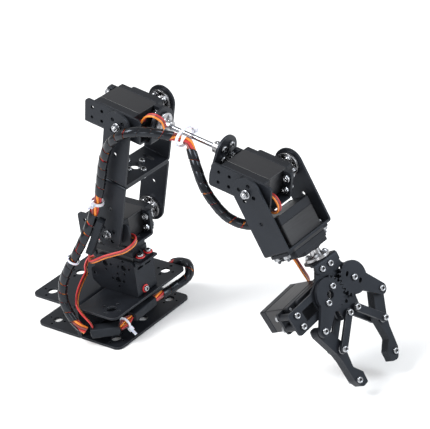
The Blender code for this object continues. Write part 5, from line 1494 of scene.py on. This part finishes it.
def core_mesh(route, start, end):
    """The bundle inside a loom: six twisted wires in three colours."""
    mesh = bmesh.new()
    first = max(0, round(start / route.step))
    last = min(len(route.points) - 1, round(end / route.step))
    for wire in range(CORE_WIRES):
        points = []
        frames = []
        for index in range(first, last + 1, 2):
            angle = math.pi / 3 * wire + index * route.step * CORE_TWIST
            side, up = route.sides[index], route.ups[index]
            centre = route.points[index]
            points.append(centre + (side * math.cos(angle) + up * math.sin(angle)) * CORE_RADIUS)
            frames.append((side, up))
        add_tube(mesh, points, frames, CORE_WIRE, 10, wire % 3)
    return mesh


def wrap_mesh(route, start, end, margin):
    """The spiral wrap: one helical band whose turns lie edge to edge, each a little proud
    of the last, with a narrow gap that shows the wires."""
    mesh = bmesh.new()
    around = 24
    rows = []
    length = route.length
    turn_low = math.ceil(max(start, margin) / WRAP_PITCH * around)
    turn_high = math.floor((min(end, length - margin) - WRAP_PITCH) / WRAP_PITCH * around)
    if end < length - margin:
        turn_high += around
    section = ((0.00, 3.86), (0.05, 4.00), (0.5, 4.08), (0.95, 4.19), (1.00, 4.08), (0.96, 3.58),
               (0.04, 3.42))
    for row in range(turn_low, turn_high + 1):
        angle = 2 * math.pi * row / around
        distance = WRAP_PITCH * row / around
        gap = 0.55 + 0.55 * math.sin(row * 0.071 + 1.0) + 0.35 * math.sin(row * 0.23)
        width = WRAP_PITCH - max(0.12, gap)
        rows.append([mesh.verts.new(route.at(distance + part * width, angle, radius) * MM)
                     for part, radius in section])
    for one, two in zip(rows, rows[1:]):
        skin(mesh, one, two, 0, True)
    mesh.faces.new(rows[0])
    mesh.faces.new(rows[-1])
    return mesh


def loose_mesh(name, mesh, materials):
    """A mesh of several materials with no parent, ready to ride on a body or to stay in the shared
    frame.
    """
    item = bare_object(name, mesh, materials)
    item.data.set_sharp_from_angle(angle=math.radians(50))
    return item


def make_loom(node, points, spans, margin=5.0):
    """A wrapped loom. Each span is (start, end, body) or (start, end, body, body, low, high):
    the part of its length that rides on a body, or that stays in the shared frame with no parent; in the
    longer span, the two bodies, low and high are not used."""
    route = Route(points, (0.3, 0.2, 1.0))
    for index, (start, end, *rest) in enumerate(spans):
        end = route.length if end is None else end
        parts = (("wires", core_mesh(route, start, end), WIRE_COLOURS, "servo_wire"),
                 ("wrap", wrap_mesh(route, start, end, margin), (WRAP,), "black_wrap"))
        for word, mesh, materials, slot_name in parts:
            item = loose_mesh(f"{node}_{word}_{index + 1}", mesh, materials)
            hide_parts(node)
            if len(rest) == 1:
                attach(item, rest[0])
            else:
                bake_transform(item)


def make_lead(node, points, hint, body, other=None):
    """Three-strand ribbon lead. It rides on one body, or, given another, stays in the shared frame with
    no parent.
    """
    route = Route(points, hint)
    mesh = bmesh.new()
    for strand in (-1, 0, 1):
        line = [point + up * strand * STRAND_PITCH for point, up in zip(route.points, route.ups)]
        frames = list(zip(route.sides, route.ups))
        add_tube(mesh, line, frames, STRAND_RADIUS, 12, (strand + 2) % 3)
    item = loose_mesh(f"{node}_ribbon", mesh, WIRE_COLOURS)
    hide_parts(node)
    if other:
        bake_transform(item)
    else:
        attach(item, body)


def make_sleeve(node, start, end, width, height, body):
    """Connector in its black sleeve: a soft block, with a collar at each end."""
    start = Vector(start)
    end = Vector(end)
    along, side, up = axes_of(end - start)
    where = Matrix.Translation(start * MM) @ Matrix((side, along, up)).transposed().to_4x4()
    length = (end - start).length
    sections = ((0.0, 0.62), (0.6, 0.80), (0.8, 0.96), (3.0, 0.99), (length * 0.33, 1.0),
                (length * 0.36, 0.97), (length * 0.62, 0.985), (length * 0.66, 1.0),
                (length - 3.0, 0.98), (length - 0.8, 0.95), (length - 0.5, 0.80), (length, 0.60))
    mesh = bmesh.new()
    rings = []
    for depth, share in sections:
        outline = rounded_box(-width / 2 * share, -height / 2 * share, width / 2 * share,
                              height / 2 * share, min(width, height) * 0.16 * share, 4)
        rings.append([mesh.verts.new(place("y", a, b, depth)) for a, b in outline])
    for one, two in zip(rings, rings[1:]):
        skin(mesh, one, two)
    mesh.faces.new(rings[0])
    mesh.faces.new(rings[-1])
    item = finish(f"{node}_sleeve", mesh, SLEEVE, 40)
    settle(item, where, body, node)


def make_tie(node, centre, along, radii, width, tail, body, nodes=()):
    """A zip tie: a band round a bundle, its square head and its ridged tail."""
    centre = Vector(centre)
    along, side, up = axes_of(along)
    steps = 48
    section = ((0, -0.5), (0, 0.5), (0.7, 0.5), (1.0, 0.36), (1.0, -0.36), (0.7, -0.5))
    mesh = bmesh.new()
    rings = []
    for grow, share in section:
        ring = []
        for step in range(steps):
            angle = 2 * math.pi * step / steps
            point = (centre + along * share * width
                     + side * (radii[0] + grow * TIE_THICK) * math.cos(angle)
                     + up * (radii[1] + grow * TIE_THICK) * math.sin(angle))
            ring.append(mesh.verts.new(point * MM))
        rings.append(ring)
    for one, two in zip(rings, rings[1:] + rings[:1]):
        skin(mesh, one, two)
    item = finish(f"{node}_band", mesh, NYLON)
    settle(item, HERE, body, nodes)
    turn = math.radians(tail)
    out = side * math.cos(turn) + up * math.sin(turn)
    across = up * math.cos(turn) - side * math.sin(turn)
    edge = centre + side * radii[0] * math.cos(turn) + up * radii[1] * math.sin(turn)
    frame_here = Matrix((along, across, out)).transposed().to_4x4()
    where = Matrix.Translation(edge * MM) @ frame_here
    head = slab(f"{node}_head", rounded_box(-2.1, -1.6, 2.1, 1.6, 0.5), TIE_THICK / 2,
                TIE_THICK + 3.2, "z", [rounded_box(-1.0, -0.5, 1.0, 0.5, 0.1)], NYLON)
    soften(head, 0.25)
    settle(head, where, body, ())
    outline = [(0.45, TIE_THICK + 3.0)]
    for step in range(9):
        depth = TIE_THICK + 3.2 + step * 0.5
        outline += [(0.45, depth), (0.33, depth + 0.25)]
    outline += [(0.3, TIE_THICK + 7.9), (-0.3, TIE_THICK + 7.9), (-0.45, TIE_THICK + 3.0)]
    end = slab(f"{node}_tail", outline, -1.2, 1.2, "x", (), NYLON)
    settle(end, where, body, ())


def make_pigtails(name, start, end, spread, count, body):
    """Short loose wires that fan out between two plugs."""
    start = Vector(start)
    end = Vector(end)
    side, up = axes_of(end - start)[1:]
    mesh = bmesh.new()
    for wire in range(count):
        angle = 2 * math.pi * wire / count
        offset = (side * math.cos(angle) + up * math.sin(angle)) * spread
        middle = (start + end) / 2 + offset * 1.5
        points = smooth_route([start + offset * 0.8, middle, end + offset * 0.7], 1.0)
        add_tube(mesh, points, [(side, up)] * len(points), LOOSE_WIRE, 10, wire % 3)
    item = loose_mesh(name, mesh, WIRE_COLOURS)
    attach(item, body)


def make_cords():
    make_loom("loom_base", LOOM_BASE, [(0.0, None, "base")])
    make_loom("loom_lower", LOOM_LOWER,
              [(0.0, 90.0, "base", "turret", (3.6, -57.2, 30.0), (7.2, -54.8, 70.0)),
               (90.0, None, "turret", "upper_arm", (18.0, -51.0, 88.0), (32.0, -42.0, 118.0))])
    make_loom("loom_upper", LOOM_UPPER,
              [(0.0, None, "upper_arm", "forearm", (50.5, -36.0, 172.5), (95.0, -25.0, 202.0))])
    make_loom("loom_wrist", LOOM_WRIST,
              [(0.0, None, "forearm", "hand", (135.0, -19.0, 166.0), (176.0, -12.0, 133.0))])
    make_lead("lead_yaw", LEAD_YAW, (0.2, -0.7, 0.7), "base")
    make_lead("lead_shoulder", LEAD_SHOULDER, (0.0, 0.0, 1.0), "turret")
    make_lead("lead_elbow", LEAD_ELBOW, (0.0, 1.0, 0.2), "forearm")
    make_lead("lead_wrist", LEAD_WRIST, (0.0, 1.0, 0.0), "forearm")
    make_lead("lead_claw", LEAD_CLAW, (0.0, 1.0, 0.3), "hand", "claw_base")
    make_sleeve("plug_base_side", (20.2, -51.8, 12.9), (40.6, -36.8, 14.2), 11.0, 8.4, "base")
    make_sleeve("plug_base_front", (41.5, -22.5, 17.5), (41.5, 7.0, 19.0), 10.0, 8.0, "base")
    make_sleeve("plug_turret", (25.6, -43.1, 86.6), (40.4, -38.1, 119.1), 8.4, 6.0, "turret")
    make_pigtails("base_wires", (40.4, -37.0, 14.2), (41.5, -22.3, 17.6), 2.4, 6, "base")
    make_tie("tie_base", (41.0, -30.2, 15.8), (1.1, 14.0, 3.4), (4.7, 4.7), 2.0, -50, "base")
    make_tie("tie_turret", (14.6, -52.5, 82.0), (8.6, 2.8, 14.0), (4.8, 4.8), 1.8, 180, "turret")
    make_tie("tie_arm", (37.8, -36.9, 134.0), (4.0, 0.3, 11.0), (4.8, 4.8), 2.6, 0, "upper_arm",
             "tie_arm")
    make_tie("tie_rod", (112.2, -5.0, 193.0), (9.8, 0, -2.0), (10.6, 7.1), 2.6, 180, "forearm",
             "tie_rod")


# ---------------------------------------------------------------- studio

AZIMUTH = 40.37
ELEVATION = 27.33
ROLL = -7.04
TARGET = Vector((128.9, 0.0, 125.3)) * MM
DISTANCE = 1.271
LENS = 133.6
SENSOR = 36.0


def make_camera():
    turn = math.radians(AZIMUTH)
    rise = math.radians(ELEVATION)
    back = Vector((math.sin(turn) * math.cos(rise), -math.cos(turn) * math.cos(rise), math.sin(rise)))
    right = (-back).cross(Vector((0, 0, 1))).normalized()
    up = back.cross(right)
    roll = math.radians(ROLL)
    across = right * math.cos(roll) + up * math.sin(roll)
    over = up * math.cos(roll) - right * math.sin(roll)
    camera = bpy.data.cameras.new("camera")
    camera.lens = LENS
    camera.sensor_width = SENSOR
    camera.clip_start = 0.05
    camera.clip_end = 30.0
    item = add_object("camera", camera)
    turn_matrix = Matrix((across, over, back)).transposed().to_4x4()
    item.matrix_world = Matrix.Translation(TARGET + back * DISTANCE) @ turn_matrix
    bpy.context.scene.camera = item


def add_light(name, where, size, power, target=(0.12, 0.0, 0.12), colour=(1.0, 1.0, 1.0)):
    light = bpy.data.lights.new(name, "AREA")
    light.shape = "RECTANGLE"
    light.size = size[0]
    light.size_y = size[1]
    light.energy = power
    light.color = colour
    item = add_object(name, light)
    item.location = where
    item.rotation_euler = (Vector(target) - Vector(where)).to_track_quat("-Z", "Y").to_euler()


def make_studio():
    mesh = bmesh.new()
    bmesh.ops.create_grid(mesh, x_segments=1, y_segments=1, size=6.0)
    floor = finish("studio_floor", mesh, FLOOR)
    floor.location = (0.0, 0.0, -0.0006)
    world = bpy.data.worlds.new("studio")
    world.use_nodes = True
    world.node_tree.nodes["Background"].inputs["Color"].default_value = (1.0, 1.0, 1.0, 1.0)
    world.node_tree.nodes["Background"].inputs["Strength"].default_value = 0.62
    bpy.context.scene.world = world
    bpy.context.scene.view_settings.view_transform = "Standard"
    add_light("key", (-0.5, -0.9, 1.5), (0.8, 0.8), 34.0)
    add_light("rim", (1.2, 0.6, 1.0), (0.5, 1.2), 14.0, colour=(0.90, 0.95, 1.0))
    add_light("fill", (1.2, -1.3, 0.5), (0.6, 0.6), 4.0)


def main():
    make_camera()
    make_cords()
    make_base()
    make_turret()
    make_upper_arm()
    make_forearm()
    make_hand()
    make_claw()
    make_studio()


main()
